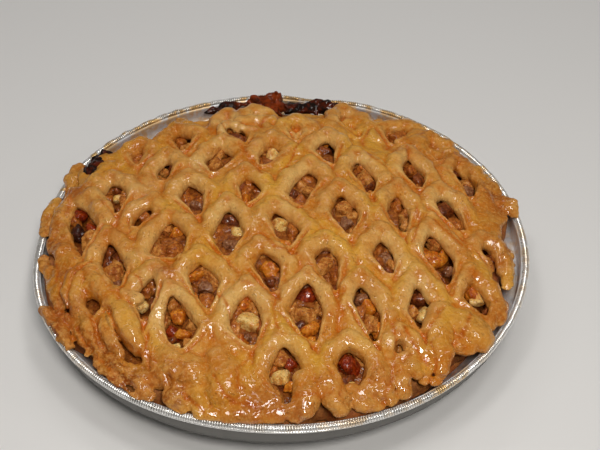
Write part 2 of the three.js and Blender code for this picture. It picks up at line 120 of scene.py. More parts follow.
# Where the sheet's edge stops short of the tin (or laps over it): azimuth, half width, depth.
EDGE_SETBACKS = [
    (-9, 14, 5), (7, 5, -3), (32, 7, 6), (54, 3, 5), (60, 9, 10), (73, 7, 8), (88, 15, 20), (108, 10, 16),
    (122, 7, 7), (134, 12, 14), (154, 5, -4), (177, 9, 3), (-140, 10, -1.5), (-125, 8, -3), (-117, 2, 7),
    (-81, 2.5, 10), (-60, 4, 3), (-47, 3, 7), (-28, 5, -2.5),
]
CRUST_SETBACKS = [(-20, 26, 6), (-48, 10, 5), (-140, 6, 8)]
RAGGEDNESS = 0.9

# Where rolled strands take the flat sheet's place, it stops further in.
ROLL_SETBACKS = [
    (168, 14, 12), (-172, 8, 8), (-150, 9, 10), (-137, 9, 18), (-124, 6, 12), (-108, 6, 5), (-98, 7, 7),
    (-82, 4, 5), (-74, 5, 4), (-62, 8, 5), (-44, 8, 7), (-22, 9, 8), (-5, 10, 6), (9, 4, 3), (60, 12, 3),
    (86, 14, 2), (122, 10, 4),
]

# ---- chance and smooth unevenness ----

CHANCE_SIZE = 32
CHANCE = np.random.RandomState(5).rand(CHANCE_SIZE, CHANCE_SIZE, CHANCE_SIZE) * 2 - 1


def noise(x, y, z, size, seed=0):
    """Smooth lumps about size across, between -1 and 1."""
    parts = []
    for value, shift in ((x, 7.31), (y, 3.17), (z, 5.73)):
        scaled = np.asarray(value, float) / size + shift * (seed + 1)
        whole = np.floor(scaled)
        part = scaled - whole
        parts.append((whole.astype(int) % CHANCE_SIZE, part * part * (3 - 2 * part)))
    (ix, fx), (iy, fy), (iz, fz) = parts
    total = 0.0
    for cx, cy, cz in itertools.product((0, 1), repeat=3):
        share = (fx if cx else 1 - fx) * (fy if cy else 1 - fy) * (fz if cz else 1 - fz)
        chance = CHANCE[(ix + cx) % CHANCE_SIZE, (iy + cy) % CHANCE_SIZE, (iz + cz) % CHANCE_SIZE]
        total = total + share * chance
    return total


def lumps(x, y, z, *layers):
    """The sum of layers of noise, each with a height, a size and a seed."""
    total = 0.0
    for height, size, seed in layers:
        total = total + height * noise(x, y, z, size, seed)
    return total


def wander(x, y, phase):
    """Broad, gentle waves over the sheet, between -1 and 1."""
    first = np.sin(0.061 * x + 0.023 * y + phase)
    second = np.sin(0.047 * y - 0.031 * x + 2.1 * phase + 1)
    third = np.sin(0.113 * x + 0.089 * y + 3.7 * phase + 2)
    return (first + second + 0.5 * third) / 2.5


def bell(distance, width):
    """1 at no distance, falling off smoothly over about width."""
    return np.exp(-((distance / width) ** 2))


def spot(x, y, middle_x, middle_y, size):
    """1 at a place, falling off smoothly over about size all round it."""
    return np.exp(-((x - middle_x) ** 2 + (y - middle_y) ** 2) / size**2)


def round_the_rim(bumps, azimuth):
    """The sum of bumps round the rim, each falling off smoothly with azimuth."""
    return sum(depth * bell((azimuth - middle + 180) % 360 - 180, width) for middle, width, depth in bumps)


def azimuth_of(x, y):
    """Degrees round the rim from the right, towards the back."""
    return np.degrees(np.arctan2(y, x))


def smooth_step(value, low, high):
    """0 up to low, 1 from high on, and a smooth rise between them."""
    part = np.clip((value - low) / (high - low), 0, 1)
    return part * part * (3 - 2 * part)


def soft_min(a, b, reach):
    """The smaller of two distances, blended where they are within reach."""
    mix = np.clip(0.5 + 0.5 * (b - a) / reach, 0, 1)
    return b + (a - b) * mix - reach * mix * (1 - mix)


# ---- the sheet ----


def sheet_top(x, y):
    """Height of the lattice's smooth dome."""
    out = np.minimum(np.hypot(x, y) / SHEET_RADIUS, 1.15)
    uneven = UNEVENNESS * wander(x, y, 0.4) * np.maximum(0, 1 - out**4)
    return EDGE_TOP + DOME_RISE * (1 - out**DOME_POWER) + uneven


def tugged(x, y):
    """How far the sheet was tugged in x and y at a place."""
    dx = 0.0
    dy = 0.0
    for cx, cy, along_x, along_y, width in TUGS:
        near = np.exp(-((x - cx) ** 2 + (y - cy) ** 2) / (2 * width**2))
        dx = dx + along_x * near
        dy = dy + along_y * near
    return dx, dy


def turned(degrees):
    """The flat direction at an angle."""
    return np.array([math.cos(math.radians(degrees)), math.sin(math.radians(degrees))])


COLUMN_STEP = COLUMN_PITCH / 2 * turned(COLUMN_TURN)
ROW_STEP = ROW_PITCH * turned(ROW_TURN - 90)


def sheet_coordinates(x, y):
    """Column, in half pitches to the right, and row, towards the front, of a place on the pie."""
    dx, dy = tugged(x, y)
    px = x - dx - FIRST_OPENING[0]
    py = y - dy - FIRST_OPENING[1]
    (a, c), (b, d) = COLUMN_STEP, ROW_STEP
    scale = a * d - b * c
    return (px * d - py * b) / scale, (py * a - px * c) / scale


# The openings' edges: their corners' radius, how far they grow outwards, and their width at back and front.
ROUNDING = 0.9
GROWTH = 0.8
UPPER_SLOPE = 4.6
LOWER_SLOPE = 2.9

# The creases outside the openings' front edges.
CREASE_OFFSET = 3.0
CREASE_WIDTH = 0.75

# How far behind an opening's back tip its dark spot lies, and how wide it is.
APEX_SIZE = 2.2

# How far from an opening's middle it is felt, in x and y, and the distance that stands for farther places.
FELT_X = 27
FELT_Y = 34
FAR = 30.0


def segment_distance(x, y, a, b):
    """Distance from the line between two places, and how far along it."""
    ab = np.array([b[0] - a[0], b[1] - a[1]], float)
    part = np.clip(((x - a[0]) * ab[0] + (y - a[1]) * ab[1]) / (ab @ ab), 0, 1)
    return np.hypot(x - a[0] - part * ab[0], y - a[1] - part * ab[1]), part


def warped(x, y):
    """Places moved by the sheet's small sideways unevenness."""
    wx = x + 0.9 * noise(x, y, 0 * x, 12, 60) + 0.35 * noise(x, y, 0 * x, 4.6, 61)
    wy = y + 0.9 * noise(x, y, 0 * x, 12, 62) + 0.35 * noise(x, y, 0 * x, 4.6, 63)
    return wx, wy


def shrunk(corners):
    """An opening's corners, moved in towards its middle so that they can be rounded out again."""
    corners = np.array(corners, float)
    inwards = corners.mean(0) - corners
    length = np.linalg.norm(inwards, axis=1)[:, None]
    return corners + inwards / length * np.minimum(1.4 * ROUNDING, 0.4 * length)


def opening_sides(x, y, corners):
    """Distances from an opening's back edges, left and right, and its front edges, and what lies inside."""
    c = shrunk(corners)
    sides = []
    inside = np.ones(np.shape(x), bool)
    for a, b in zip(c, np.roll(c, -1, axis=0)):
        sides.append(segment_distance(x, y, a, b)[0])
        inside &= (b[0] - a[0]) * (y - a[1]) - (b[1] - a[1]) * (x - a[0]) > 0
    return sides[0], sides[3], np.minimum(sides[1], sides[2]), inside


def towards(a, b):
    """The direction from one place to another."""
    return (b - a) / np.linalg.norm(b - a)


def beside(edge, side):
    """The direction square to an edge, on the given side of it."""
    aside = np.array([edge[1], -edge[0]]) / np.linalg.norm(edge)
    return aside if aside @ side > 0 else -aside


def creases_of(x, y, corners, number):
    """Depth of the creases outside an opening's front edges, which meet past its tip and run on a little."""
    top, left, tip, right = corners
    down = towards(top, tip)
    meet = tip + down * (CREASE_OFFSET + 1.2)
    depth = np.zeros(x.shape)
    for corner, phase in ((left, 0.0), (right, 2.6)):
        edge = tip - corner
        aside = beside(edge, corner - corners.mean(0))
        offset = CREASE_OFFSET + 0.4 * math.sin(3.1 * number + phase)
        start = corner - edge * 0.12 + aside * (offset + 0.4)
        bend = corner + edge * 0.62 + aside * offset
        strength = 0.7 + 0.3 * math.sin(4.7 * number + phase)
        first, along = segment_distance(x, y, start, bend)
        second, _ = segment_distance(x, y, bend, meet)
        depth = np.maximum(depth, strength * smooth_step(along, 0.0, 0.35) * bell(first, CREASE_WIDTH))
        depth = np.maximum(depth, strength * bell(second, CREASE_WIDTH))
    run = 4.5 + 3.0 * math.sin(2.3 * number + 1)
    third, along = segment_distance(x, y, meet, meet + down * run)
    return np.maximum(depth, (1 - smooth_step(along, 0.4, 1.0)) * bell(third, 1.0))


def openings_near(x, y):
    """How places lie to the nearest openings: the share of the rounded edge that is crossed, below zero in an
    opening; the distances from all their edges, from their back edges, left and right, and from their front
    edges; the dents of closed ones, the creases' depth, and what lies just behind a back tip."""
    wx, wy = warped(x, y)
    maps = {name: np.zeros(x.shape) for name in ("dent", "crease", "apex")}
    for name in ("into", "distance", "back_left", "back_right", "front"):
        maps[name] = np.full(x.shape, FAR)
    for number, corners in enumerate(OPENINGS + CLOSED):
        corners = np.array(corners, float)
        middle = corners.mean(0)
        near = (np.abs(x - middle[0]) < FELT_X) & (np.abs(y - middle[1]) < FELT_Y)
        if not near.any():
            continue
        px, py = wx[near], wy[near]
        back_left, back_right, front, inside = opening_sides(px, py, corners)
        back = np.minimum(back_left, back_right)
        distance = np.where(inside, -1, 1) * np.minimum(back, front) - ROUNDING - GROWTH
        slope = smooth_step(front / np.maximum(front + back, 1e-6), 0.35, 0.65)
        slope = LOWER_SLOPE + (UPPER_SLOPE - LOWER_SLOPE) * slope
        nearer = {"back_left": back_left, "back_right": back_right, "front": front}
        nearer = {name: value - ROUNDING for name, value in nearer.items()}
        peak = corners[0] - towards(corners[0], corners[2]) * APEX_SIZE
        higher = {"crease": creases_of(px, py, corners, number), "apex": spot(px, py, *peak, APEX_SIZE)}
        if number < len(OPENINGS):
            nearer.update({"into": distance / slope, "distance": distance})
        else:
            higher["dent"] = smooth_step(-distance, -2.0, 2.5)
        for name, value in nearer.items():
            maps[name][near] = np.minimum(maps[name][near], value)
        for name, value in higher.items():
            maps[name][near] = np.maximum(maps[name][near], value)
    return maps


def sheet_edge(x, y):
    """Distance outwards from the sheet's ragged edge."""
    azimuth = azimuth_of(x, y)
    angle = np.radians(azimuth)
    ragged = RAGGEDNESS * (np.sin(17 * angle) + np.sin(41 * angle + 1)) / 2
    setback = round_the_rim(EDGE_SETBACKS, azimuth) + round_the_rim(ROLL_SETBACKS, azimuth)
    return np.hypot(x, y) - (SHEET_RADIUS - setback - ragged)


# ---- rolled and folded strands near the rim ----

# Each roll: how flat it is, how softly it joins on, and its points (x, y, rise over the sheet's top, radius).
ROLLS = {
    "back bridge": (0.75, 1.2, (-20, 81, -2.6, 4.2), (-12, 80, -2.4, 4.8), (-4, 82, -2.6, 4.2)),
    "left back lobe": (0.8, 0.5, (-106, 56, -4, 4.2), (-108, 46, -3.6, 4.8), (-108, 38, -4.2, 3.4)),
    "left nub": (0.9, 0.5, (-109, 36, -5, 1.8), (-109, 33, -5.4, 1.6)),
    "left back strand": (0.75, 1.2, (-88, 49, -2.2, 4.2), (-93, 36, -1.6, 4.9), (-98, 29, -2.2, 4.6)),
    "left arch": (0.75, 1, (-104, 31, -3, 4.4), (-94, 23, -1.8, 5.2), (-88, 12, -1.6, 5.2),
        (-84, 2, -2.2, 4.4)),
    "left pale side": (0.7, 0.5, (-106, 27, -3.4, 4), (-108, 12, -2.8, 5), (-109, -2, -3.4, 4.2)),
    "left outer side": (0.8, 0.5, (-114, 29, -5, 3.6), (-117, 17, -4.6, 4.2), (-117, 5, -5, 3.6)),
    "left lower strand": (0.7, 0.5, (-110, -6, -3.4, 4.4), (-103, -16, -2.4, 5.4), (-96, -25, -2.6, 4.4)),
    "left pale strand": (0.75, 1, (-86, -9, -2, 4.2), (-89, -21, -1.8, 4.9), (-91, -26, -2.4, 4.2)),
    "left crust lump": (0.8, 0.5, (-115, -15, -5.6, 3.6), (-113, -22, -5.8, 3.8)),
    "left crust strip": (0.7, 0.5, (-111, -23, -5, 3.6), (-106, -36, -4.8, 4), (-102, -47, -5.2, 3.6)),
    "fold, left leg": (0.75, 0.5, (-92, -29, -1.8, 4.4), (-95, -35, -1.2, 5.6), (-96, -45, -1.4, 5.8),
        (-93, -54, -2.6, 4.6)),
    "fold, right leg": (0.75, 0.5, (-92, -29, -1.8, 4.4), (-88, -33, -1.2, 5.2), (-83, -43, -1.2, 5.4),
        (-78, -50, -1.8, 4.6)),
    "left low": (0.9, 0.7, (-109, -52, -3.6, 4.6), (-103, -62, -3, 5.2), (-96, -70, -3.6, 4.6)),
    "bridge": (0.7, 0.8, (-77, -48, -1.8, 4.6), (-72, -51, -1.8, 4.8), (-66, -53, -2.4, 4)),
    "fat roll": (0.72, 0.45, (-76, -54, -1.6, 5.4), (-71, -64, -0.8, 7), (-67, -72, -1.2, 6.6),
        (-62, -79, -3, 3.8)),
    "small roll": (0.75, 0.45, (-81, -60, -2.4, 3.8), (-79, -67, -1.8, 4.6), (-75, -74, -2.2, 4.5),
        (-70, -81, -3.8, 2.8)),
    "below the fold": (0.8, 0.45, (-89, -57, -3.4, 4), (-86, -63, -3.2, 4.8), (-84, -71, -3.4, 4.6),
        (-81, -77, -4, 4)),
    "crumbly ridge 1": (0.8, 0.4, (-102, -51, -5, 3), (-96, -62, -4.8, 3.4), (-90, -70, -5.4, 2.8)),
    "crumbly ridge 2": (0.8, 0.4, (-96, -56, -4.2, 3.4), (-91, -68, -4, 4), (-86, -76, -4.8, 3.2)),
    "crumbly ridge 3": (0.8, 0.4, (-87, -69, -4, 3), (-83, -76, -4.2, 3.4)),
    "crumbly low 1": (0.75, 0.4, (-80, -80, -5, 4), (-76, -87, -4.8, 4.8), (-69, -94, -5.2, 4.4)),
    "crumbly low 2": (0.75, 0.4, (-79, -80, -4.2, 4), (-72, -86, -4, 4.6), (-66, -91, -4.4, 4)),
    "crumbly low 3": (0.75, 0.4, (-68, -89, -4.2, 4.2), (-62, -95, -4.2, 4.6), (-57, -102, -5.2, 3.8)),
    "crumbly low 4": (0.8, 0.4, (-67, -97, -5.4, 3.6), (-61, -102, -5.4, 3.8)),
    "pored pad": (0.5, 0.6, (-51, -82, -3, 5), (-46, -88, -2.4, 7), (-40, -92, -2.2, 8), (-33, -94, -2.6, 6)),
    "pad's left edge": (0.65, 0.5, (-59, -83, -3.4, 4.6), (-54, -89, -3.2, 4.8), (-49, -95, -3.6, 4.4)),
    "front lobe 1": (0.65, 0.45, (-45, -99, -3.8, 5.4), (-45, -104, -3.6, 5.8), (-43, -108, -4.6, 4.8)),
    "front lobe 2": (0.7, 0.45, (-39, -100, -3.6, 4.4), (-36, -106, -3.4, 5), (-34, -111, -4.6, 4.4)),
    "tongue": (0.55, 1.6, (-27, -87, -2.2, 5.6), (-24, -95, -1.4, 7.6), (-24, -103, -1.6, 7.8),
        (-25, -108, -2.8, 4.6)),
    "lower left fill": (0.8, 0.5, (-64, -86, -5.6, 4), (-57, -92, -5, 4.4), (-52, -95, -5.4, 4.2)),
    "front band": (0.7, 0.45, (-30, -112, -4.4, 4.2), (-21, -113, -4, 4.6), (-12, -113, -3.6, 5),
        (-2, -114, -4.2, 4.6)),
    "front band 2": (0.7, 0.5, (-21, -109, -3.2, 4.2), (-13, -109, -2.8, 4.4), (-5, -110, -3.2, 4)),
    "right of tip": (0.65, 0.45, (10, -99, -2.4, 5.2), (11, -106, -2, 6.2), (10, -111, -2.8, 5.8),
        (6, -114, -4.2, 4.4)),
    "next lobe": (0.65, 0.45, (18, -93, -2.2, 5), (20, -100, -1.8, 6), (23, -107, -2.2, 6.2),
        (25, -111, -3.8, 4.8)),
    "right band": (0.7, 0.6, (40, -86, -2.2, 4.6), (42, -96, -2, 5.2), (44, -103, -2.8, 4.8),
        (47, -106, -4, 3.6)),
    "small arch": (0.7, 0.45, (51, -91, -3, 4), (52, -97, -2.6, 4.8), (53, -102, -3.8, 4.2)),
    "pad by the dark spot": (0.7, 0.5, (55, -87, -2.4, 4), (57, -90, -2.2, 4.4), (59, -93, -3.2, 3.6)),
    "front filler": (0.6, 0.6, (30, -104, -3, 4.6), (35, -108, -3.6, 5), (41, -108, -4.2, 4.4)),
    "lobe, left leg": (0.6, 0.6, (73, -61, -1.8, 6.2), (70, -72, -1, 6.8), (70, -82, -1.4, 6.6),
        (70, -89, -3.2, 5)),
    "lobe, right": (0.6, 0.8, (75, -63, -1.8, 6.2), (81, -67, -0.8, 7.4), (87, -71, -0.8, 8),
        (90, -74, -1.6, 6.4)),
    "lobe's fold": (0.7, 0.8, (79, -77, -2, 5.4), (83, -78, -2.4, 5)),
    "low flap": (0.6, 0.4, (63, -95, -5, 3.4), (67, -95, -5.2, 3.4), (72, -92, -5.4, 3)),
    "right edge": (0.7, 0.5, (95, -62, -4.6, 3.6), (101, -55, -5, 4), (104, -49, -5.6, 3.4)),
    "right strand 1": (0.85, 0.5, (101, 3, -3.7, 3.6), (103, -9, -3.8, 4.2), (107, -19, -4.4, 4.3),
        (110, -22, -5.3, 3.4)),
    "right strand 2": (0.85, 0.5, (90, -28, -3.6, 3.8), (95, -35, -3.4, 4.5), (99, -43, -4, 4.5),
        (101, -49, -5.1, 3.6)),
    "right strand 3": (0.85, 0.5, (62, -32, -2.9, 3.6), (67, -44, -2.9, 4.4), (71, -52, -3.3, 4.4),
        (75, -57, -3.5, 3.4)),
    "right strand 4": (0.85, 0.5, (74, 0, -2.8, 3.8), (81, -13, -3, 4.5), (85, -20, -3.3, 4.4),
        (89, -24, -3.7, 3.6)),
    "back lobe 1": (0.85, 0.5, (-32, 85, -6.1, 3.6), (-27, 91, -6, 4), (-21, 94, -5.8, 3.2)),
    "back lobe 2": (0.9, 0.5, (-17, 86, -4.9, 2.9), (-16, 91, -5, 2.8)),
    "back lobe 3": (0.9, 0.5, (-10, 91, -4.9, 2.4), (-7, 93, -5, 2.2)),
    "back strand 1": (0.85, 0.6, (-38, 68, -4.6, 3.8), (-29, 62, -4.2, 4.3), (-21, 53, -4, 4.3),
        (-16, 47, -4.2, 3.8)),
    "back strand 2": (0.85, 0.6, (-35, 79, -4.8, 3), (-25, 82, -4.2, 3), (-16, 77, -4.2, 3),
        (-8, 74, -4, 3.2)),
    "back arch, left": (0.85, 0.5, (-6, 75, -3.5, 3.6), (-10, 62, -3.8, 4.2), (-14, 48, -4.4, 4.2)),
    "back arch, right": (0.85, 0.5, (-6, 75, -3.5, 3.6), (2, 62, -3.8, 4.3), (10, 49, -4.2, 4.2)),
    "back edge": (0.85, 0.5, (-1, 82, -5, 3), (8, 81, -5, 3.2), (16, 81, -5, 3.2), (22, 85, -5.3, 3.6)),
    "back arch 2, left": (0.85, 0.5, (23, 83, -4.5, 3.6), (18, 74, -4.2, 4), (14, 63, -4.1, 3.6)),
    "back arch 2, right": (0.85, 0.5, (23, 83, -4.5, 3.6), (29, 77, -4.2, 4), (34, 68, -4.4, 4.2)),
    "back lobe 4": (0.85, 0.5, (38, 85, -5.5, 3.6), (44, 84, -5.7, 4.4), (46, 76, -5.2, 3.8)),
    "back lobe 5": (0.85, 0.5, (52, 87, -5.4, 3), (56, 88, -5.5, 3.4), (59, 83, -5.2, 2.8)),
    "back right strand": (0.85, 0.5, (65, 65, -4.3, 3.4), (72, 73, -4.4, 3.8), (80, 82, -5.1, 3.6),
        (83, 79, -5.4, 3)),
    "back right lobe": (0.85, 0.5, (81, 68, -4.9, 3.6), (87, 63, -5, 4), (92, 58, -5.1, 3.6),
        (93, 51, -4.8, 3)),
    "right back strand": (0.85, 0.5, (93, 51, -4.9, 3.4), (98, 45, -5, 3.8), (105, 41, -5.4, 3.8),
        (110, 34, -5.9, 3.4)),
    "left back strand 1": (0.85, 0.5, (-54, 93, -6.2, 4), (-58, 81, -5.5, 4.4), (-64, 70, -5.2, 4.2)),
    "left back strand 2": (0.85, 0.5, (-53, 93, -6.2, 4), (-45, 80, -5.4, 4.2), (-40, 69, -4.8, 4.2)),
    "left back strand 3": (0.85, 0.6, (-64, 69, -5, 4), (-67, 58, -4.9, 4.4), (-69, 48, -4.8, 4)),
    "right pad 1": (0.8, 0.5, (109, -20, -6, 3.2), (109, -29, -6.6, 3.8), (107, -38, -6.7, 3.6)),
    "right pad 2": (0.8, 0.5, (106, -46, -6.7, 3.4), (102, -57, -7, 3.8), (97, -65, -7.1, 3.6)),
    "lower strand": (0.85, 0.5, (55, -75, -4, 3.2), (58, -82, -3.7, 3.4), (63, -89, -4.3, 3.4)),
    "orange lump": (0.75, 0.5, (114, 20, -2.2, 5), (117, 18, -1.8, 6), (119, 15, -2.8, 4.2)),
}


def roll_distance(x, y, z, points, flat):
    """Distance from a chain of flattened round cones."""
    best = None
    for (ax, ay, az, ar), (bx, by, bz, br) in zip(points, points[1:]):
        a = np.array([ax, ay, sheet_top(ax, ay) + az])
        b = np.array([bx, by, sheet_top(bx, by) + bz])
        ab = (b - a) / np.array([1, 1, flat])
        px, py, pz = x - a[0], y - a[1], (z - a[2]) / flat
        part = np.clip((px * ab[0] + py * ab[1] + pz * ab[2]) / (ab @ ab), 0, 1)
        reach = np.sqrt((px - part * ab[0]) ** 2 + (py - part * ab[1]) ** 2 + (pz - part * ab[2]) ** 2)
        distance = (reach - (ar + part * (br - ar))) * (0.5 + 0.5 * flat)
        best = distance if best is None else soft_min(best, distance, 1.2)
    return best


ARCH_FLATNESS = 0.80
ARCH_SOFTNESS = 1.1


def room_beside(place, number):
    """How far a place on one opening's edge is from the other openings, up to 12."""
    room = 12.0
    for other, corners in enumerate(OPENINGS + CLOSED):
        if other != number:
            back_left, back_right, front, inside = opening_sides(*place, corners)
            room = min(room, 0.5 if inside else float(min(back_left, back_right, front)) - ROUNDING)
    return room


def arch_rolls():
    """The round strand that bends over the back of each opening, thinner where its neighbours are close."""
    for number, corners in enumerate(OPENINGS + CLOSED):
        corners = np.array(corners, float)
        top, left, tip, right = corners
        # Each place: a corner, the corner that it lies towards, its share of the way there, and its rise.
        places = [
            (left, tip, 0.6, -1.6), (left, tip, 0.08, -0.2), (left, top, 0.55, 0.7), (top, top, 0, 1.0),
            (right, top, 0.55, 0.7), (right, tip, 0.08, -0.2), (right, tip, 0.6, -1.6),
        ]
        points = []
        for order, (corner, other, share, rise) in enumerate(places):
            place = corner + share * (other - corner)
            away = towards(corners.mean(0), place)
            if corner is not top:
                away = beside((tip if order in (0, 6) else top) - corner, away)
            radius = float(np.clip(0.5 * (room_beside(place, number) - 2 * GROWTH), 2.2, 4.5))
            centre = place + away * (radius + GROWTH + 0.2)
            rise = rise + 0.4 * math.sin(2.9 * number + order)
            points.append((centre[0], centre[1], rise - radius * ARCH_FLATNESS, radius))
        yield ARCH_FLATNESS, ARCH_SOFTNESS, *points


# ---- meshes ----


def surface_of(field, origin, step):
    """Points and faces of the zero surface of a distance field."""
    grid = vdb.FloatGrid(3 * step)
    grid.copyFromArray(np.clip(field, -3 * step, 3 * step).astype(np.float32))
    grid.transform = vdb.createLinearTransform(voxelSize=step)
    points, triangles, quads = grid.convertToPolygons(isovalue=0.0)
    faces = [list(map(int, f)) for f in [*triangles, *quads]]
    return np.asarray(points, float) + np.asarray(origin, float), faces


def read(items, name, kind=float):
    """A mesh's numbers of one kind, three to a row."""
    numbers = np.empty(len(items) * 3, kind)
    items.foreach_get(name, numbers)
    return numbers.reshape(-1, 3)


def closed_mesh(name, points, faces):
    """A mesh in the frame's metres from millimetres round the rim's axis, its faces turned outwards."""
    mesh = bpy.data.meshes.new(name)
    placed = (np.asarray(points, float) + [RIM_SHIFT, 0, 0]) * MM
    mesh.from_pydata(placed.tolist(), [], faces)
    mesh.validate()
    mesh.update()
    mesh.polygons.foreach_set("use_smooth", [True] * len(mesh.polygons))
    mesh.calc_loop_triangles()
    a, b, c = read(mesh.vertices, "co")[read(mesh.loop_triangles, "vertices", int).T]
    if np.einsum("ij,ij->i", a, np.cross(b, c)).sum() < 0:
        mesh.flip_normals()
    return mesh


def points_of(mesh):
    """A mesh's points in millimetres round the rim's axis."""
    return read(mesh.vertices, "co") * 1000 - [RIM_SHIFT, 0, 0]


def paint(mesh, **masks):
    """Masks between 0 and 1 at a mesh's points, for its material."""
    for name, values in masks.items():
        layer = mesh.attributes.new(name, "FLOAT", "POINT")
        layer.data.foreach_set("value", np.clip(values, 0, 1).astype(np.float32))


def add_piece(mesh, node, material):
    """Dresses a node of the frame with a mesh."""
    piece = bpy.data.objects.new(mesh.name, mesh)
    bpy.context.scene.collection.objects.link(piece)
    mesh.materials.append(material)
    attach(piece, "root")
    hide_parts(node)


def lathe(profile, count, reshape):
    """Points and faces of a closed ring of profiles (radius, height) swept round the axis, then reshaped.
    A profile that starts and ends on the axis gets single end points there."""
    profile = np.asarray(profile, float)
    angles = np.arange(count) * 2 * math.pi / count
    on_axis = profile[0, 0] < 1e-6
    ring = profile[1:-1] if on_axis else profile
    n = len(ring)
    x = np.outer(np.cos(angles), ring[:, 0])
    y = np.outer(np.sin(angles), ring[:, 0])
    z = np.outer(np.ones(count), ring[:, 1])
    points = np.stack([x, y, z], -1).reshape(-1, 3)
    i = np.arange(count)[:, None]
    j = np.arange(n - 1 if on_axis else n)[None, :]
    k = (j + 1) % n
    after = (i + 1) % count
    quads = np.stack(np.broadcast_arrays(i * n + j, after * n + j, after * n + k, i * n + k), -1)
    faces = quads.reshape(-1, 4).tolist()
    if on_axis:
        first = len(points)
        points = np.vstack([points, [0, 0, profile[0, 1]], [0, 0, profile[-1, 1]]])
        for s in range(count):
            t = (s + 1) % count
            faces += [[first, t * n, s * n], [first + 1, s * n + n - 1, t * n + n - 1]]
    return reshape(points), faces


def parted(a, b, count):
    """The points between two points of a section, in count equal steps, both ends left out."""
    return [tuple(p + (q - p) * i / count for p, q in zip(a, b)) for i in range(1, count)]


def oval(middle, across, up, count):
    """The points of an oval in a section."""
    angles = [2 * math.pi * i / count for i in range(count)]
    return [(middle[0] + across * math.cos(a), middle[1] + up * math.sin(a)) for a in angles]


# ---- node materials ----

SOCKETS = {
    "colour": "Base Color", "metallic": "Metallic", "roughness": "Roughness", "normal": "Normal",
    "specular": "Specular IOR Level", "coat": "Coat Weight", "coat_roughness": "Coat Roughness",
    "coat_ior": "Coat IOR", "coat_normal": "Coat Normal", "scatter": "Subsurface Weight",
    "scatter_radius": "Subsurface Radius", "scatter_scale": "Subsurface Scale",
}


class Nodes:
    """Short ways to build a material's nodes."""

    def __init__(self, name):
        self.material = bpy.data.materials.new(name)
        self.material.use_nodes = True
        self.tree = self.material.node_tree
        self.tree.nodes.clear()
        self.shader = self.tree.nodes.new("ShaderNodeBsdfPrincipled")
        output = self.tree.nodes.new("ShaderNodeOutputMaterial")
        self.tree.links.new(self.shader.outputs[0], output.inputs["Surface"])
        self.place = self.tree.nodes.new("ShaderNodeTexCoord").outputs["Object"]

    def feed(self, node, values):
        """Gives a node's sockets a link, a colour or a number each."""
        for name, value in values.items():
            socket = node.inputs[name]
            if isinstance(value, bpy.types.NodeSocket):
                self.tree.links.new(value, socket)
            elif isinstance(value, tuple) and len(socket.default_value) == 4:
                socket.default_value = (*value, 1.0)
            else:
                socket.default_value = value

    def add(self, kind, output, values, **settings):
        """The output of a new node with these settings, fed with values."""
        node = self.tree.nodes.new("ShaderNode" + kind)
        for name, value in settings.items():
            setattr(node, name, value)
        self.feed(node, values)
        return node.outputs[output]

    def noise(self, size, detail=3.0, roughness=0.55):
        """Noise with lumps about size millimetres across."""
        values = {"Vector": self.place, "Scale": 1 / (size * MM), "Detail": detail, "Roughness": roughness}
        return self.add("TexNoise", "Fac", values)

    def cells(self, size):
        """Distance from the middles of cells about size millimetres across."""
        return self.add("TexVoronoi", "Distance", {"Vector": self.place, "Scale": 1 / (size * MM)})

    def mask(self, name):
        return self.add("Attribute", "Fac", {}, attribute_name=name)

    def range(self, value, low, high, to_low=0.0, to_high=1.0):
        """A value smoothly turned from one range into another."""
        values = {"Value": value, "From Min": low, "From Max": high, "To Min": to_low, "To Max": to_high}
        return self.add("MapRange", "Result", values, interpolation_type="SMOOTHSTEP")

    def times(self, a, b):
        return self.add("Math", 0, {0: a, 1: b}, operation="MULTIPLY", use_clamp=True)

    def mix(self, share, a, b):
        return self.add("Mix", 2, {0: share, 6: a, 7: b}, data_type="RGBA")

    def patches(self, mask, pattern, low, high, least, most=1.0):
        """A mask's share, from least to most where a pattern rises from low to high."""
        return self.times(self.mask(mask), self.range(pattern, low, high, least, most))

    def bump(self, height, depth, strength=1.0, before=None):
        """Relief of a height between 0 and 1, depth in millimetres."""
        values = {"Strength": strength, "Distance": depth * MM, "Height": height}
        if before is not None:
            values["Normal"] = before
        return self.add("Bump", "Normal", values)

    def finish(self, **values):
        """The material, with its shader's sockets fed."""
        self.feed(self.shader, {SOCKETS[name]: value for name, value in values.items()})
        return self.material


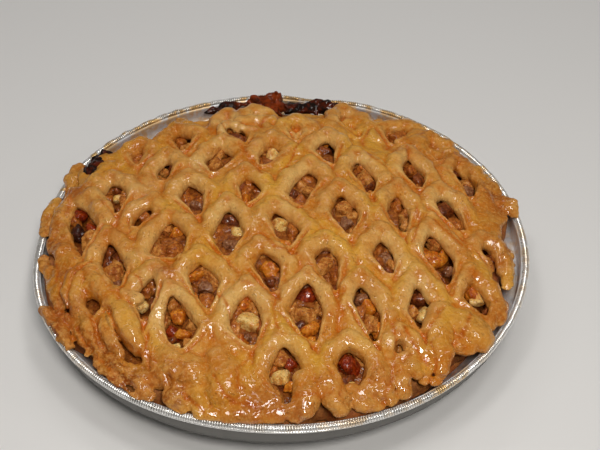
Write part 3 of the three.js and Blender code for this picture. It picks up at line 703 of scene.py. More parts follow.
def pastry_material():
    m = Nodes("glazed_pastry")
    middle = m.noise(6, 3.0)
    fine = m.noise(1.3, 4.0, 0.65)
    golden = m.mix(m.range(m.noise(15, 2.0), 0.40, 0.60), (0.56, 0.180, 0.009), (0.66, 0.292, 0.045))
    colour = m.mix(m.range(middle, 0.45, 0.70), golden, (0.53, 0.145, 0.004))
    colour = m.mix(m.range(m.noise(2.6, 3.0, 0.6), 0.50, 0.64, 0.0, 0.45), colour, (0.71, 0.355, 0.085))
    crumb = m.mix(m.range(m.noise(3.4, 3.0, 0.6), 0.42, 0.62), (0.28, 0.056, 0.003), (0.57, 0.235, 0.055))
    # Each mask's pattern, the range in which it rises, the mask's share below and above, and its colour.
    for mask, pattern, (low, high), (least, most), over in (
        # ridge: convex tops painted paler, a painted sheen.
        ("ridge", m.noise(5, 2.0), (0.3, 0.6), (0.35, 0.9), (0.71, 0.356, 0.092)),
        ("yellow", m.noise(5, 2.0), (0.3, 0.6), (0.4, 1.0), (0.72, 0.355, 0.035)),
        # pale: real pale dough at stains and cut sides, with painted sheen on ridges and painted light on lit
        # slopes.
        ("pale", m.noise(4, 2.0), (0.25, 0.55), (0.4, 0.85), (0.77, 0.455, 0.14)),
        ("orange", m.noise(6, 3.0), (0.35, 0.6), (0.35, 0.95), (0.52, 0.135, 0.003)),
        ("crease", m.noise(7, 2.0), (0.3, 0.6), (0.55, 1.0), (0.52, 0.115, 0.001)),
        ("brown", m.noise(5, 4.0, 0.65), (0.35, 0.55), (0.35, 1.0), crumb),
        ("juice", m.noise(4, 3.0), (0.3, 0.55), (0.3, 1.0), (0.36, 0.062, 0.003)),
    ):
        colour = m.mix(m.patches(mask, pattern, low, high, least, most), colour, over)
    colour = m.mix(m.range(fine, 0.50, 0.66, 0.0, 0.22), colour, (0.36, 0.100, 0.005))
    colour = m.mix(m.range(fine, 0.50, 0.36, 0.0, 0.30), colour, (0.80, 0.50, 0.18))
    relief = m.bump(fine, 0.38, 1.0, m.bump(m.noise(2.2, 3.0, 0.6), 0.6))
    pores = m.times(m.range(m.cells(1.7), 0.32, 0.12), m.range(m.noise(7, 1.0), 0.46, 0.58))
    return m.finish(
        colour=colour,
        normal=m.bump(pores, -0.35, 0.9, relief),
        roughness=m.range(middle, 0.3, 0.7, 0.44, 0.60),
        specular=0.08,
        coat=m.patches("gloss", m.noise(8, 2.0), 0.40, 0.56, 0.3),
        coat_roughness=0.06,
        coat_ior=1.6,
        coat_normal=m.bump(m.noise(3.0, 0.5, 0.3), 0.50, 1.0, m.bump(m.noise(7, 0.0), 0.6)),
        scatter=0.06,
        scatter_radius=(0.003, 0.0015, 0.0006),
        scatter_scale=1.0,
    )


def crust_material():
    m = Nodes("bottom_crust")
    rough = m.noise(3.2, 5.0, 0.7)
    colour = m.mix(m.range(rough, 0.3, 0.68), (0.24, 0.062, 0.008), (0.50, 0.185, 0.035))
    colour = m.mix(m.range(m.noise(9, 2.0), 0.4, 0.65, 0.0, 0.7), colour, (0.42, 0.10, 0.014))
    return m.finish(colour=colour, roughness=0.72, normal=m.bump(rough, 0.9))


def foil_material(name, shade, roughness, metallic):
    m = Nodes(name)
    crinkle = m.noise(5, 4.0, 0.6)
    colour = m.mix(m.range(m.noise(3, 2.0), 0.3, 0.7), shade, tuple(0.86 * c for c in shade))
    # Golden tint on the foil: a painted reflection of the pastry.
    colour = m.mix(m.patches("amber", m.noise(6, 3.0, 0.6), 0.42, 0.6, 0.0, 0.95), colour, (0.80, 0.50, 0.17))
    # Painted shade: the troughs between the bead's ribs are coloured dark.
    colour = m.mix(m.mask("groove"), colour, (0.17, 0.15, 0.12))
    # The tin's outside is painted dark grey: painted shade and a painted dark reflection on the foil.
    colour = m.mix(m.mask("outer"), colour, (0.165, 0.16, 0.15))
    return m.finish(
        colour=colour,
        metallic=metallic,
        roughness=m.range(crinkle, 0.3, 0.7, roughness - 0.06, roughness + 0.08),
        normal=m.bump(crinkle, 0.12, 0.5),
    )


def fruit_material(name, light, dark, stain, roughness, coat):
    m = Nodes(name)
    colour = m.mix(m.range(m.noise(2.2, 5.0, 0.75), 0.40, 0.60), dark, light)
    colour = m.mix(m.range(m.noise(4.5, 3.0, 0.6), 0.48, 0.66, 0.0, 0.8), colour, stain)
    specks = m.range(m.noise(0.9, 2.0, 0.6), 0.58, 0.66, 0.0, 0.65)
    colour = m.mix(specks, colour, tuple(0.4 * c for c in stain))
    grains = m.range(m.noise(1.2, 2.0, 0.6), 0.42, 0.34, 0.0, 0.5)
    colour = m.mix(grains, colour, tuple(min(1.35 * c + 0.02, 0.9) for c in light))
    return m.finish(
        colour=colour,
        roughness=roughness,
        coat=coat,
        coat_roughness=0.06,
        specular=0.12,
        coat_normal=m.bump(m.noise(1.5, 1.0), 0.30),
        normal=m.bump(m.noise(1.6, 4.0, 0.7), 0.8),
        scatter=0.08,
        scatter_radius=(0.003, 0.0012, 0.0005),
        scatter_scale=1.0,
    )


def burnt_material():
    m = Nodes("burnt_juice")
    colour = m.mix(m.range(m.noise(5, 4.0, 0.6), 0.42, 0.66), (0.010, 0.005, 0.003), (0.10, 0.012, 0.002))
    colour = m.mix(m.patches("red", m.noise(3.5, 2.0), 0.35, 0.6, 0.25), colour, (0.25, 0.036, 0.004))
    relief = m.bump(m.noise(2.2, 4.0, 0.6), 0.7, 0.9)
    return m.finish(colour=colour, roughness=0.6, specular=0.05, coat=0.3, coat_roughness=0.05, normal=relief)


# ---- tin ----


def dented(points):
    """The rim's dents, fading out down the wall."""
    x, y, z = points.T
    radius = np.maximum(np.hypot(x, y), 1e-6)
    depth = round_the_rim(RIM_DENTS, azimuth_of(x, y)) * np.clip(z / TIN_HEIGHT, 0, 1) ** DENT_FADE
    scale = (radius - np.where(radius > MIDDLE, depth, 0)) / radius
    return np.stack([x * scale, y * scale, z], -1)


def tin_line(distance):
    """The tin's section from the axis to the ledge's end, moved inwards."""
    slope = math.atan2(LEDGE_HEIGHT, WALL_TOP_RADIUS - BASE_RADIUS)
    pull = distance * math.tan(slope / 2)
    foot = BASE_RADIUS - pull
    line = [(r, distance) for r in (0, 30, 60, 80, foot - 3)]
    for angle in (slope / 4, slope / 2, slope * 3 / 4):
        line.append((foot - 3 + 5.12 * math.sin(angle), distance + 3.2 * (1 - math.cos(angle))))
    start = (foot + 3 * math.cos(slope), distance + 3 * math.sin(slope))
    end = (WALL_TOP_RADIUS - pull, LEDGE_HEIGHT + distance)
    ledge_end = (COLLAR_RADIUS - distance, LEDGE_HEIGHT + distance)
    return [*line, start, *parted(start, end, 8), end, *parted(end, ledge_end, 3), ledge_end]


FLUTES = 84
COLLAR_TOP = TIN_HEIGHT - 1.4

# The bead, which is slimmer than the solids', its ribs, and where it is crumpled: azimuth, half width, share.
BEAD_RADIUS = 1.3
RIBS = 660
RIB_HEIGHT = 0.42
CRUMPLED = (128, 26, 1)


def tin_shape(points):
    """The tin's fluted wall, crinkled ledge, rippled collar and dents."""
    x, y, z = points.T
    radius = np.maximum(np.hypot(x, y), 1e-6)
    angle = np.arctan2(y, x)
    wall = smooth_step(z, 1.0, 4.5) * (1 - smooth_step(z, 14.0, 17.4))
    flute = 0.45 * wall * np.sin(FLUTES * angle + 0.6 * np.sin(9 * angle))
    ledge = smooth_step(radius, 110, 115) * (1 - smooth_step(z, 20, 24))
    crinkle = 0.32 * ledge * noise(x, y, z * 0.3, 3.2, 3)
    ripple = smooth_step(z, 19, 22) * (0.12 * noise(x, y, z, 16, 4) + 0.05 * noise(x, y, z * 0.2, 3.5, 5))
    scale = np.where(radius < MIDDLE, 1, (radius + flute + ripple) / radius)
    return dented(np.stack([x * scale, y * scale, z + crinkle], -1))


def painted_shade_outside(mesh):
    """1 on the tin's outside, where its foil is painted dark as painted shade and a painted dark reflection,
    0 on its inside.
    """
    points = points_of(mesh)
    normals = read(mesh.vertices, "normal")
    radius = np.hypot(points[:, 0], points[:, 1])
    outwards = (normals[:, :2] * points[:, :2]).sum(1) / np.maximum(radius, 1)
    return (outwards - normals[:, 2] > 0.2).astype(float)


def build_tin(material, bead_material):
    """The tin's body, the ribbed bead of its rim and the lip under that."""
    top = (COLLAR_RADIUS, COLLAR_TOP)
    collar_out = [*parted((COLLAR_RADIUS, LEDGE_HEIGHT), top, 5), top]
    collar_in = [(COLLAR_RADIUS - FOIL, z) for _, z in reversed(collar_out)]
    profile = tin_line(0.0) + collar_out + collar_in + tin_line(FOIL)[::-1]
    mesh = closed_mesh("tin_body", *lathe(profile, FLUTES * 12, tin_shape))
    # The outer mask paints shade and a dark reflection onto the outside of the foil.
    paint(mesh, amber=amber_at(mesh) * 0.8, outer=painted_shade_outside(mesh))
    add_piece(mesh, "foil_tin", material)

    middle = (RIM_RADIUS - 1.6, TIN_HEIGHT - 0.2 - BEAD_RADIUS)
    grooves = []

    def rib(points):
        """The bead's fine ribs, crumpled at the back left."""
        x, y, z = points.T
        flat = z * 0
        angle = np.arctan2(y, x)
        radius = np.hypot(x, y)
        from_middle = np.stack([radius - middle[0], z - middle[1]], -1) / BEAD_RADIUS
        lower = smooth_step(-from_middle[:, 1], 0.35, 0.9)
        wave = np.sin(RIBS * angle + 1.5 * np.sin(23 * angle) + 3.0 * noise(x, y, flat, 14, 8))
        uneven = 0.75 + 0.5 * noise(x, y, flat, 4, 6)
        height = RIB_HEIGHT * wave * uneven * (1 - 0.85 * lower)
        # Where the rib wave dips, the bead gets painted shade.
        grooves.append(smooth_step(-wave * uneven, 0.1, 0.8) * (1 - lower))
        height = height + 0.14 * noise(x, y, flat, 5, 7)
        crumple = round_the_rim([CRUMPLED], np.degrees(angle))
        height = height + crumple * 0.45 * noise(x, y, z, 3.0, 9)
        new_radius = radius + from_middle[:, 0] * height
        new_z = z + from_middle[:, 1] * height + 0.35 * noise(x, y, flat, 22, 10) * crumple
        return dented(np.stack([x / radius * new_radius, y / radius * new_radius, new_z], -1))

    mesh = closed_mesh("tin_bead", *lathe(oval(middle, BEAD_RADIUS, BEAD_RADIUS, 13), RIBS * 5, rib))
    paint(mesh, groove=grooves[0], amber=amber_at(mesh))
    add_piece(mesh, "foil_tin", bead_material)

    # The smooth lip where the bead's foil comes back to the collar.
    lip = oval((RIM_RADIUS - 0.95, TIN_HEIGHT - 2.5), 0.62, 0.5, 8)
    mesh = closed_mesh("tin_lip", *lathe(lip, 720, dented))
    paint(mesh, amber=amber_at(mesh) * 0.3)
    add_piece(mesh, "foil_tin", bead_material)


# Places on the rim where the foil is painted golden, a painted reflection of the pastry: azimuth, half width,
# strength.
AMBER_REFLECTION = [
    (128, 30, 1), (160, 16, 0.8), (75, 30, 1), (40, 18, 0.8), (-150, 14, 0.6), (-75, 18, 0.5),
    (-52, 8, 0.9), (0, 30, 0.5),
]


def amber_at(mesh):
    """How strongly the foil is painted golden at a mesh's points, a painted reflection of the pastry."""
    return np.clip(round_the_rim(AMBER_REFLECTION, azimuth_of(*points_of(mesh)[:, :2].T)), 0, 1)


# ---- bottom crust ----


def settle(points):
    """Crust gives way above the ledge where the lattice stands back, and at the rim's dents."""
    x, y, z = points.T
    radius = np.maximum(np.hypot(x, y), 1e-6)
    setback = np.maximum(0, round_the_rim(EDGE_SETBACKS + CRUST_SETBACKS, azimuth_of(x, y)))
    amount = np.minimum(1.5 + 0.9 * setback, 9.0) * smooth_step(z, 15.0, 19.0) * (radius > MIDDLE)
    scale = (radius - amount) / radius
    return dented(np.stack([x * scale, y * scale, z - 0.45 * amount * smooth_step(z, 20, 26)], -1))


def build_crust(material):
    """The bottom crust between the tin and the filling, with a crumbly edge."""
    outside = tin_line(FOIL + CRUST_GAP)
    inside = tin_line(FOIL + CRUST_GAP + CRUST)[:-3]
    wall = [(outside[-1][0], z) for z in (19.5, 21, 22.5, 24, 25.3)]
    # The rounded edge, from outside to inside: how far past the edge's radius, and how far over its height.
    rounded = ((1.2, -2.6), (0.9, -1.3), (0, 0), (-CRUST / 3, 0.2), (-2 * CRUST / 3, 0.1), (-CRUST, -0.3))
    edge = [(CRUST_EDGE_RADIUS + r, CRUST_EDGE_HEIGHT + z) for r, z in rounded]
    profile = outside + wall + edge + parted(edge[-1], inside[-1], 6) + inside[::-1]

    def crumble(points):
        moved = settle(points)
        x, y, z = moved.T
        high = smooth_step(z, 23.0, 27.0)
        radius = np.hypot(x, y)
        push = high * lumps(x, y, z, (0.7, 4.0, 11), (0.35, 1.8, 12))
        scale = np.where(radius > MIDDLE, (radius + np.minimum(push, 0.6)) / np.maximum(radius, 1e-6), 1)
        lift = high * lumps(x, y, z, (0.9, 6.0, 13), (0.4, 2.2, 14))
        return np.stack([x * scale, y * scale, z + lift], -1)

    mesh = closed_mesh("bottom_crust", *lathe(profile, 1080, crumble))
    add_piece(mesh, "pastry_shell", material)


# ---- lattice ----

LATTICE_STEP = 0.62
LATTICE_TRIANGLES = 190000
LARGEST_RADIUS = 121.5
LOWEST = UNDERSIDE_AT_EDGE - 0.2

# The sheet's section: how square it is, the width of its edge beside an opening and at the tin, and its least
# half thickness.
ROUNDNESS = 2.2
EDGE_WIDTH = 3.6
OUTER_EDGE_WIDTH = 5.2
LEAST_HALF = 1.2

# How far the sheet sinks between its rolls, how much more at the back, and how far where it ends early and in
# valleys, dents and creases; how far it rises in front of an opening, and the height of the thin lip there.
SUNK = 2.3
SUNK_AT_BACK = 0.6
EDGE_DROP = 3.0
VALLEY_DEPTH = 1.8
DENT_DEPTH = 2.4
CREASE_DEPTH = 1.0
FRONT_RISE = 1.3
LIP = 0.35

# Creases between folded strands near the lower left rim: depth, then places.
GROOVES = [
    (1.3, (-89, -29), (-94, -32), (-97, -38), (-98, -48), (-96, -58)),
    (1.6, (-78, -59), (-75, -67), (-72, -74), (-68, -80)),
    (1.1, (-82, -63), (-83, -68), (-82, -74), (-78, -79)),
    (1.2, (-92, -64), (-89, -71), (-84, -77)), (1.2, (-97, -60), (-94, -69), (-89, -76)),
    (0.8, (-90, -46), (-88, -53), (-86, -56)), (1.0, (-59, -84), (-58, -88), (-57, -91)),
    (0.6, (-77, -92), (-73, -98), (-68, -100)), (0.6, (-71, -85), (-67, -90), (-63, -95)),
]

# Deep gaps between strands: x, y, how wide and how deep.
PITS = [(-67, -82, 1.9, 4.2), (-63, -84, 2.2, 4.6)]


def grooved(x, y):
    """Depth of the creases, in millimetres."""
    depth = np.zeros(x.shape)
    for deep, *line in GROOVES:
        for a, b in zip(line, line[1:]):
            depth = np.maximum(depth, deep * bell(segment_distance(x, y, a, b)[0], 0.9))
    for cx, cy, wide, deep in PITS:
        depth = depth + deep * spot(x, y, cx, cy, wide)
    return depth


def line_valleys(x, y):
    """Valleys between the strands' ends near the rim, along the columns' lines."""
    column, row = sheet_coordinates(*warped(x, y))
    line = np.round(column + 0.12 * np.sin(2.1 * row + column))
    apart = (column - line) * COLUMN_PITCH / 2
    outer = smooth_step(np.hypot(x, y), 99, 113)
    choice = 0.6 + 0.4 * np.sin(2.7 * line + 0.6 * np.sign(row - 3))
    return outer * choice * bell(apart, 1.9)


def blend_rolls(field, x, y, z, axis):
    """Joins the arches and the rolls to a field, each within its own window."""
    for flatness, softness, *points in [*arch_rolls(), *ROLLS.values()]:
        reach = max(p[3] for p in points) + 6
        window = []
        for i in (0, 1):
            low, high = min(p[i] for p in points) - reach, max(p[i] for p in points) + reach
            ends = (int(np.clip((v - axis[0]) / LATTICE_STEP, 0, len(axis))) for v in (low, high))
            window.append(slice(*ends))
        window = tuple(window)
        roll = roll_distance(x[window][..., None], y[window][..., None], z, points, flatness)
        roll = np.maximum(roll, LOWEST - z)
        roll = np.maximum(roll, np.hypot(x[window], y[window])[..., None] - LARGEST_RADIUS)
        field[window] = soft_min(field[window], roll, softness)


def lattice_field():
    """The lattice as a field of distances, in steps of LATTICE_STEP, and the field's first place."""
    axis = np.arange(-RIM_RADIUS, RIM_RADIUS, LATTICE_STEP)
    z = np.arange(27.0, 54.5, LATTICE_STEP)
    x, y = np.meshgrid(axis, axis, indexing="ij")
    near = openings_near(x, y)
    edge = sheet_edge(x, y)
    radius = np.hypot(x, y)
    inner = 1 - smooth_step(radius, 92, 106)
    setback = round_the_rim(EDGE_SETBACKS, azimuth_of(x, y))
    top = sheet_top(x, y) - (SUNK + SUNK_AT_BACK * smooth_step(y, 20, 60)) * inner
    top = top + FRONT_RISE * bell(near["front"] - 1.8, 1.2) * inner
    top = top - EDGE_DROP * smooth_step(edge, -16, -2) * smooth_step(setback, 3, 10)
    top = top + 0.5 * noise(x, y, 0 * x, 13, 64) + 0.35 * noise(x, y, 0 * x, 6, 65)
    top = top - VALLEY_DEPTH * line_valleys(x, y) - DENT_DEPTH * near["dent"]
    under = np.maximum(sheet_top(x, y) - THICKNESS, UNDERSIDE_AT_EDGE)
    half = np.maximum(top - under, 2 * LEAST_HALF) / 2

    # The sheet's rounded section: u across its edge and w up through it, each 1 at the surface.
    into = soft_min(near["into"], -edge / OUTER_EDGE_WIDTH, 0.5)
    u = np.maximum(1 - into, 0)[..., None]
    w = np.abs(z - (top - half)[..., None]) / half[..., None]
    k = np.maximum((u**ROUNDNESS + w**ROUNDNESS) ** (1 / ROUNDNESS), 1e-3)
    steep_u = u ** (ROUNDNESS - 1) / EDGE_WIDTH
    steep_w = w ** (ROUNDNESS - 1) / half[..., None]
    field = (k - 1) / np.maximum(k ** (1 - ROUNDNESS) * np.sqrt(steep_u**2 + steep_w**2), 0.08)
    field = np.maximum(field, LOWEST - z)
    blend_rolls(field, x, y, z, axis)
    lip = bell(near["front"] - 1.2, 1.0) * smooth_step(near["distance"], -0.5, 0.5)
    cut = grooved(x, y) + 0.5 * streaked(x.ravel(), y.ravel()).reshape(x.shape)
    crease = CREASE_DEPTH * near["crease"] * (1 - smooth_step(radius, 100, 112))
    return field + (crease - LIP * lip + cut)[..., None], (axis[0], axis[0], z[0])


def thinned(mesh, count):
    """A mesh with its flattest faces merged until about count triangles are left."""
    have = sum(len(p.vertices) - 2 for p in mesh.polygons)
    if have <= count:
        return mesh
    name = mesh.name
    helper = bpy.data.objects.new("helper", mesh)
    bpy.context.scene.collection.objects.link(helper)
    helper.modifiers.new("thin", "DECIMATE").ratio = count / have
    result = bpy.data.meshes.new_from_object(helper.evaluated_get(bpy.context.evaluated_depsgraph_get()))
    bpy.data.objects.remove(helper)
    bpy.data.meshes.remove(mesh)
    result.polygons.foreach_set("use_smooth", [True] * len(result.polygons))
    result.name = name
    return result


def edges_of(faces):
    """The pairs of points along faces' edges; a short face's last point is repeated."""
    width = max(len(f) for f in faces)
    corners = np.array([f + [f[-1]] * (width - len(f)) for f in faces])
    return np.vstack([corners[:, [i, (i + 1) % width]] for i in range(width)])


def largest_part(points, faces):
    """Leaves only the largest connected part of a mesh."""
    parent = np.arange(len(points))
    a, b = edges_of(faces).T
    while True:
        low = np.minimum(parent[a], parent[b])
        new = parent.copy()
        np.minimum.at(new, a, low)
        np.minimum.at(new, b, low)
        new = new[new]
        if (new == parent).all():
            break
        parent = new
    names, counts = np.unique(parent, return_counts=True)
    keep = parent == names[np.argmax(counts)]
    number = np.cumsum(keep) - 1
    return points[keep], [[int(number[v]) for v in f] for f in faces if keep[f[0]]]


def hollowness(points, normals, faces, rounds):
    """How hollow a surface is at its points, above zero in creases and below on ridges, in millimetres."""
    pairs = edges_of(faces)
    a, b = pairs[pairs[:, 0] != pairs[:, 1]].T
    count = np.bincount(a, minlength=len(points)) + np.bincount(b, minlength=len(points))

    def around(values):
        total = np.bincount(a, values[b], len(points)) + np.bincount(b, values[a], len(points))
        return total / np.maximum(count, 1)

    smooth = points.copy()
    for _ in range(rounds):
        smooth = np.stack([around(smooth[:, i]) for i in range(3)], -1)
    return around(around(((smooth - points) * normals).sum(1)))


# Stains on the pastry for each mask: x, y, radius, strength.
STAINS = {
    "yellow": [(27, -22, 9, 0.8), (36, -77, 8, 1), (-36, -30, 16, 0.5), (13, -89, 10, 0.4),
        (4, -103, 9, 0.4), (-34, -59, 10, 0.6), (4, -73, 9, 0.7), (-8, 16, 9, 0.9), (9, -84, 8, 0.5),
        (36, 25, 8, 0.5), (-30, -25, 9, 0.6),
    ],
    "pale": [(34, -79, 6, 0.7), (-54, -66, 7, 1), (-22, -60, 7, 1), (-89, -20, 6, 0.8), (-41, 40, 6, 0.8),
        (10, 22, 6, 0.7), (-71, -30, 6, 0.7), (-34, -50, 8, 0.45), (-48, -52, 7, 0.4), (-16, -76, 8, 0.35),
        (-11, -58, 7, 0.7), (-27, -4, 6, 0.5), (-69, 25, 8, 0.8), (-39, 44, 6, 0.8), (3, 1, 5, 0.7),
        (-59, -56, 5, 0.8), (-83, 3, 6, 0.5), (58, -35, 6, 0.5), (56, -3, 6, 0.4), (-20, -59, 6, 0.9),
    ],
    "juice": [(-53, -39, 5, 0.8), (-100, -33, 5, 0.8), (-100, -55, 7, 0.8), (-46, -62, 4, 0.6),
        (112, 12, 8, 0.35), (0, -113, 14, 0.4), (40, -104, 8, 0.3), (-104, 28, 6, 0.7), (-14, -112, 8, 0.4),
    ],
    "brown": [(-79, -95, 15, 1), (-110, -48, 9, 0.8), (-96, -78, 10, 0.8), (-112, -10, 9, 0.5),
        (90, 62, 16, 0.4), (-45, -104, 12, 0.5), (-60, 80, 18, 0.35), (108, 30, 10, 0.6),
        (110, -20, 12, 0.4), (-104, -66, 12, 0.8),
    ],
    "orange": [(104, 20, 9, 1), (-106, -30, 12, 0.7), (20, -108, 18, 0.5), (-15, -109, 14, 0.8),
        (70, -86, 12, 0.6), (98, -60, 9, 0.5), (-58, -96, 9, 0.5), (-60, 66, 12, 0.4), (-84, -14, 16, 0.3),
        (97, -14, 16, 0.35), (-55, 27, 14, 0.25), (-83, 3, 14, 0.45), (-106, -15, 12, 0.4),
        (-70, -32, 12, 0.4), (102, 5, 14, 0.3), (-81, -69, 12, 0.35), (-72, 47, 16, 0.3),
    ],
    "matte": [(84, -68, 16, 0.5), (-88, -70, 22, 0.4), (30, -100, 30, 0.3), (0, 70, 40, 0.2)],
}

# Runs of orange glaze, from place to place.
STREAKS = [
    ((50, -71), (51, -82), (48, -97), (44, -109)), ((55, -73), (58, -81), (64, -90)),
    ((82, -34), (82, -43), (79, -52)), ((75, -4), (81, -12), (87, -20)), ((68, 7), (68, -5), (63, -21)),
    ((49, 4), (56, -7), (59, -18)), ((29, -53), (25, -65), (26, -75)), ((25, -59), (28, -67)),
    ((-1, -55), (-3, -65), (-1, -75)), ((-8, -17), (-2, -28), (8, -31)),
    ((-31, -50), (-26, -58), (-22, -68)), ((-13, -86), (-19, -96), (-18, -106)),
    ((2, -106), (8, -109), (21, -108)), ((31, -86), (27, -96), (25, -109)),
    ((-102, -38), (-103, -46), (-99, -58)), ((-84, -51), (-86, -61), (-81, -72)),
    ((-72, -36), (-65, -42), (-60, -51)), ((-82, -81), (-74, -90), (-64, -99)),
    ((-29, -99), (-24, -109), (-10, -113)), ((-43, -103), (-38, -109), (-33, -113)),
    ((86, -64), (81, -75), (76, -81)), ((105, -43), (107, -52), (103, -62)), ((45, 51), (48, 41), (54, 35)),
    ((67, 56), (68, 44), (74, 34)), ((12, 59), (6, 39), (1, 29)), ((-20, 55), (-14, 40), (-8, 26)),
    ((-74, 14), (-78, 3), (-81, -8)), ((-59, -72), (-59, -82), (-54, -90)),
    ((-114, 45), (-105, 27), (-106, 12)), ((66, -80), (68, -90), (63, -101)),
    ((-107, -23), (-105, -29), (-105, -35)),
]


def streaked(x, y):
    """How much of the glaze's orange runs lies at each place."""
    best = np.zeros(len(x))
    for number, line in enumerate(STREAKS):
        wide = 0.8 + 0.3 * math.sin(2.3 * number)
        for a, b in zip(line, line[1:]):
            middle = (np.array(a) + b) / 2
            near = np.hypot(x - middle[0], y - middle[1]) < 18
            reach, _ = segment_distance(x[near], y[near], a, b)
            best[near] = np.maximum(best[near], bell(reach, wide))
    return best


def stained(name, x, y):
    """The stains of one mask, each with its strength at the places."""
    return [strength * spot(x, y, cx, cy, size) for cx, cy, size, strength in STAINS[name]]


def build_lattice(material):
    """The lattice: its smooth form, then its relief, its masks and as few triangles as are needed."""
    points, faces = largest_part(*surface_of(*lattice_field(), LATTICE_STEP))
    mesh = closed_mesh("lattice_pastry", points, faces)
    points = points_of(mesh)
    normals = read(mesh.vertices, "normal")
    x, y, z = points.T
    radius = np.hypot(x, y)
    at_rim = smooth_step(radius, 96, 116)
    crumbly = np.maximum.reduce(stained("brown", x, y))
    hollow = hollowness(points, normals, faces, 36)
    relief = lumps(x, y, z, (0.50, 6.5, 20), (0.38, 3.1, 21), (0.20, 1.5, 29))
    relief = relief + at_rim * lumps(x, y, z, (0.6, 6, 22), (0.3, 2.6, 23))
    relief = relief + crumbly * (0.8 - 3.2 * np.abs(noise(x, y, z, 5.0, 24)) + 1.2 * noise(x, y, z, 2.3, 25))
    moved = points + normals * relief[:, None]
    moved[:, 2] = np.maximum(moved[:, 2], UNDERSIDE_AT_EDGE - 0.3)
    mesh.vertices.foreach_set("co", ((moved + [RIM_SHIFT, 0, 0]) * MM).ravel())
    mesh.update()

    near = openings_near(x, y)
    upper = smooth_step(normals[:, 2], -0.1, 0.35)
    inner = 1 - smooth_step(radius, 88, 114)
    # The openings' cut sides are pale dough; the left slopes, which face the light, get more, which is
    # painted light.
    slope_left = bell(np.maximum(near["back_left"] - 1.4, 0), 2.6)
    slope_right = bell(np.maximum(near["back_right"] - 1.4, 0), 1.8)
    uneven = smooth_step(noise(x, y, z, 17, 30), -0.35, 0.45)
    creased = smooth_step(hollow, 0.15, 0.75)
    streak = streaked(x + 0.7 * noise(x, y, z, 7, 66), y + 0.7 * noise(x, y, z, 7, 67))
    crease = near["crease"] ** 1.2 * inner + 0.8 * creased + 0.5 * near["apex"] + 0.4 * line_valleys(x, y)
    pale = inner * uneven * (0.75 * slope_left + 0.35 * slope_right) * (1 - near["apex"])
    brown = 0.45 * at_rim * smooth_step(noise(x, y, z, 14, 26), -0.7, 0.3)
    yellow = 0.75 * smooth_step(near["distance"], 2.5, 5.5) * smooth_step(noise(x, y, z, 19, 27), -0.15, 0.4)
    gloss = 0.8 + 0.35 * noise(x, y, z, 20, 28) + 0.25 * smooth_step(x - y, 20, 130) - 0.6 * crumbly
    paint(
        mesh,
        crease=(crease + (np.minimum(0.8 * grooved(x, y), 1) + streak)) * upper,
        # pale: stains and cut sides, plus convex tops painted paler as a painted sheen.
        pale=sum(stained("pale", x, y), pale + 0.5 * smooth_step(-hollow, 0.2, 0.9) * (0.4 + 0.6 * uneven)),
        brown=brown + crumbly + 0.4 * at_rim * creased,
        # Convex tops get a paler colour, which is painted sheen.
        ridge=smooth_step(-hollow, 0.0, 0.8) * inner,
        yellow=sum(stained("yellow", x, y), yellow),
        juice=sum(stained("juice", x, y)),
        orange=sum(stained("orange", x, y)),
        gloss=gloss - sum(stained("matte", x, y)),
    )
    add_piece(thinned(mesh, LATTICE_TRIANGLES), "lattice_top", material)


# ---- filling ----

# Fruit that can be told apart in the openings: kind, x, y and size.
FRUIT = [
    ("pale", -19, -9, 7), ("pale", -3, 52, 6), ("pale", -81, 23, 5), ("tan", -57, -21, 7),
    ("plum", -41, 11, 6), ("plum", -24, -19, 6), ("caramel", -99, 16, 6), ("char", -99, 1, 7),
    ("caramel", -92, 2, 6), ("orange", -50, -8, 7), ("tan", -54, -6, 4), ("tan", -59, 44, 5),
    ("dark", 8, 16, 6), ("cinnamon", 15, 28, 7), ("dark", 25, 55, 6), ("cinnamon", 42, 39, 6),
    ("dark", 46, 24, 5), ("tan", 32, 5, 8), ("plum", 32, -7, 6), ("cinnamon", 58, 10, 7),
    ("tan", 61, -4, 5), ("cinnamon", 69, 43, 7), ("dark", 83, 12, 8), ("tan", 75, -14, 6),
    ("pale", 1, -6, 7), ("cinnamon", 6, -13, 6), ("plum", 97, 30, 7), ("dark", 92, 47, 4),
    ("tan", 21, -33, 8), ("plum", 21, -25, 5), ("plum", 50, -28, 6), ("cinnamon", 47, -22, 6),
    ("dark", -82, -25, 5), ("plum", -76, -39, 5), ("pale", -69, -39, 8), ("cinnamon", -62, -44, 5),
    ("pale", -63, -53, 5), ("orange", -46, -61, 6), ("caramel", -48, -70, 6), ("orange", -43, -72, 5),
    ("tan", -42, -75, 4), ("pale", -46, -78, 4), ("orange", -40, -39, 6), ("plum", -35, -47, 6),
    ("tan", -31, -46, 4), ("pale", -15, -65, 9), ("orange", -16, -55, 5), ("plum", -15, -74, 5),
    ("orange", -6, -35, 7), ("dark", -4, -45, 5), ("tan", 0, -86, 7), ("caramel", 4, -89, 4),
    ("pale", -1, -95, 7), ("orange", 4, -100, 5), ("caramel", 11, -52, 12), ("plum", 13, -47, 4),
    ("orange", 13, -71, 7), ("plum", 36, -55, 6), ("orange", 40, -58, 7), ("tan", 41, -67, 6),
    ("cinnamon", 40, -48, 5), ("dark", 64, -50, 6), ("pale", 67, -59, 7), ("pale", 92, -46, 6),
    ("orange", 89, -43, 6), ("dark", 95, -54, 4), ("orange", 78, -19, 6), ("plum", 80, -31, 5),
    ("caramel", 31, -89, 10), ("caramel", 28, -86, 5), ("pale", 30, -100, 5), ("cinnamon", -47, 19, 6),
    ("cinnamon", -30, -3, 6), ("cinnamon", -67, 6, 5), ("cinnamon", -16, 20, 6),
]

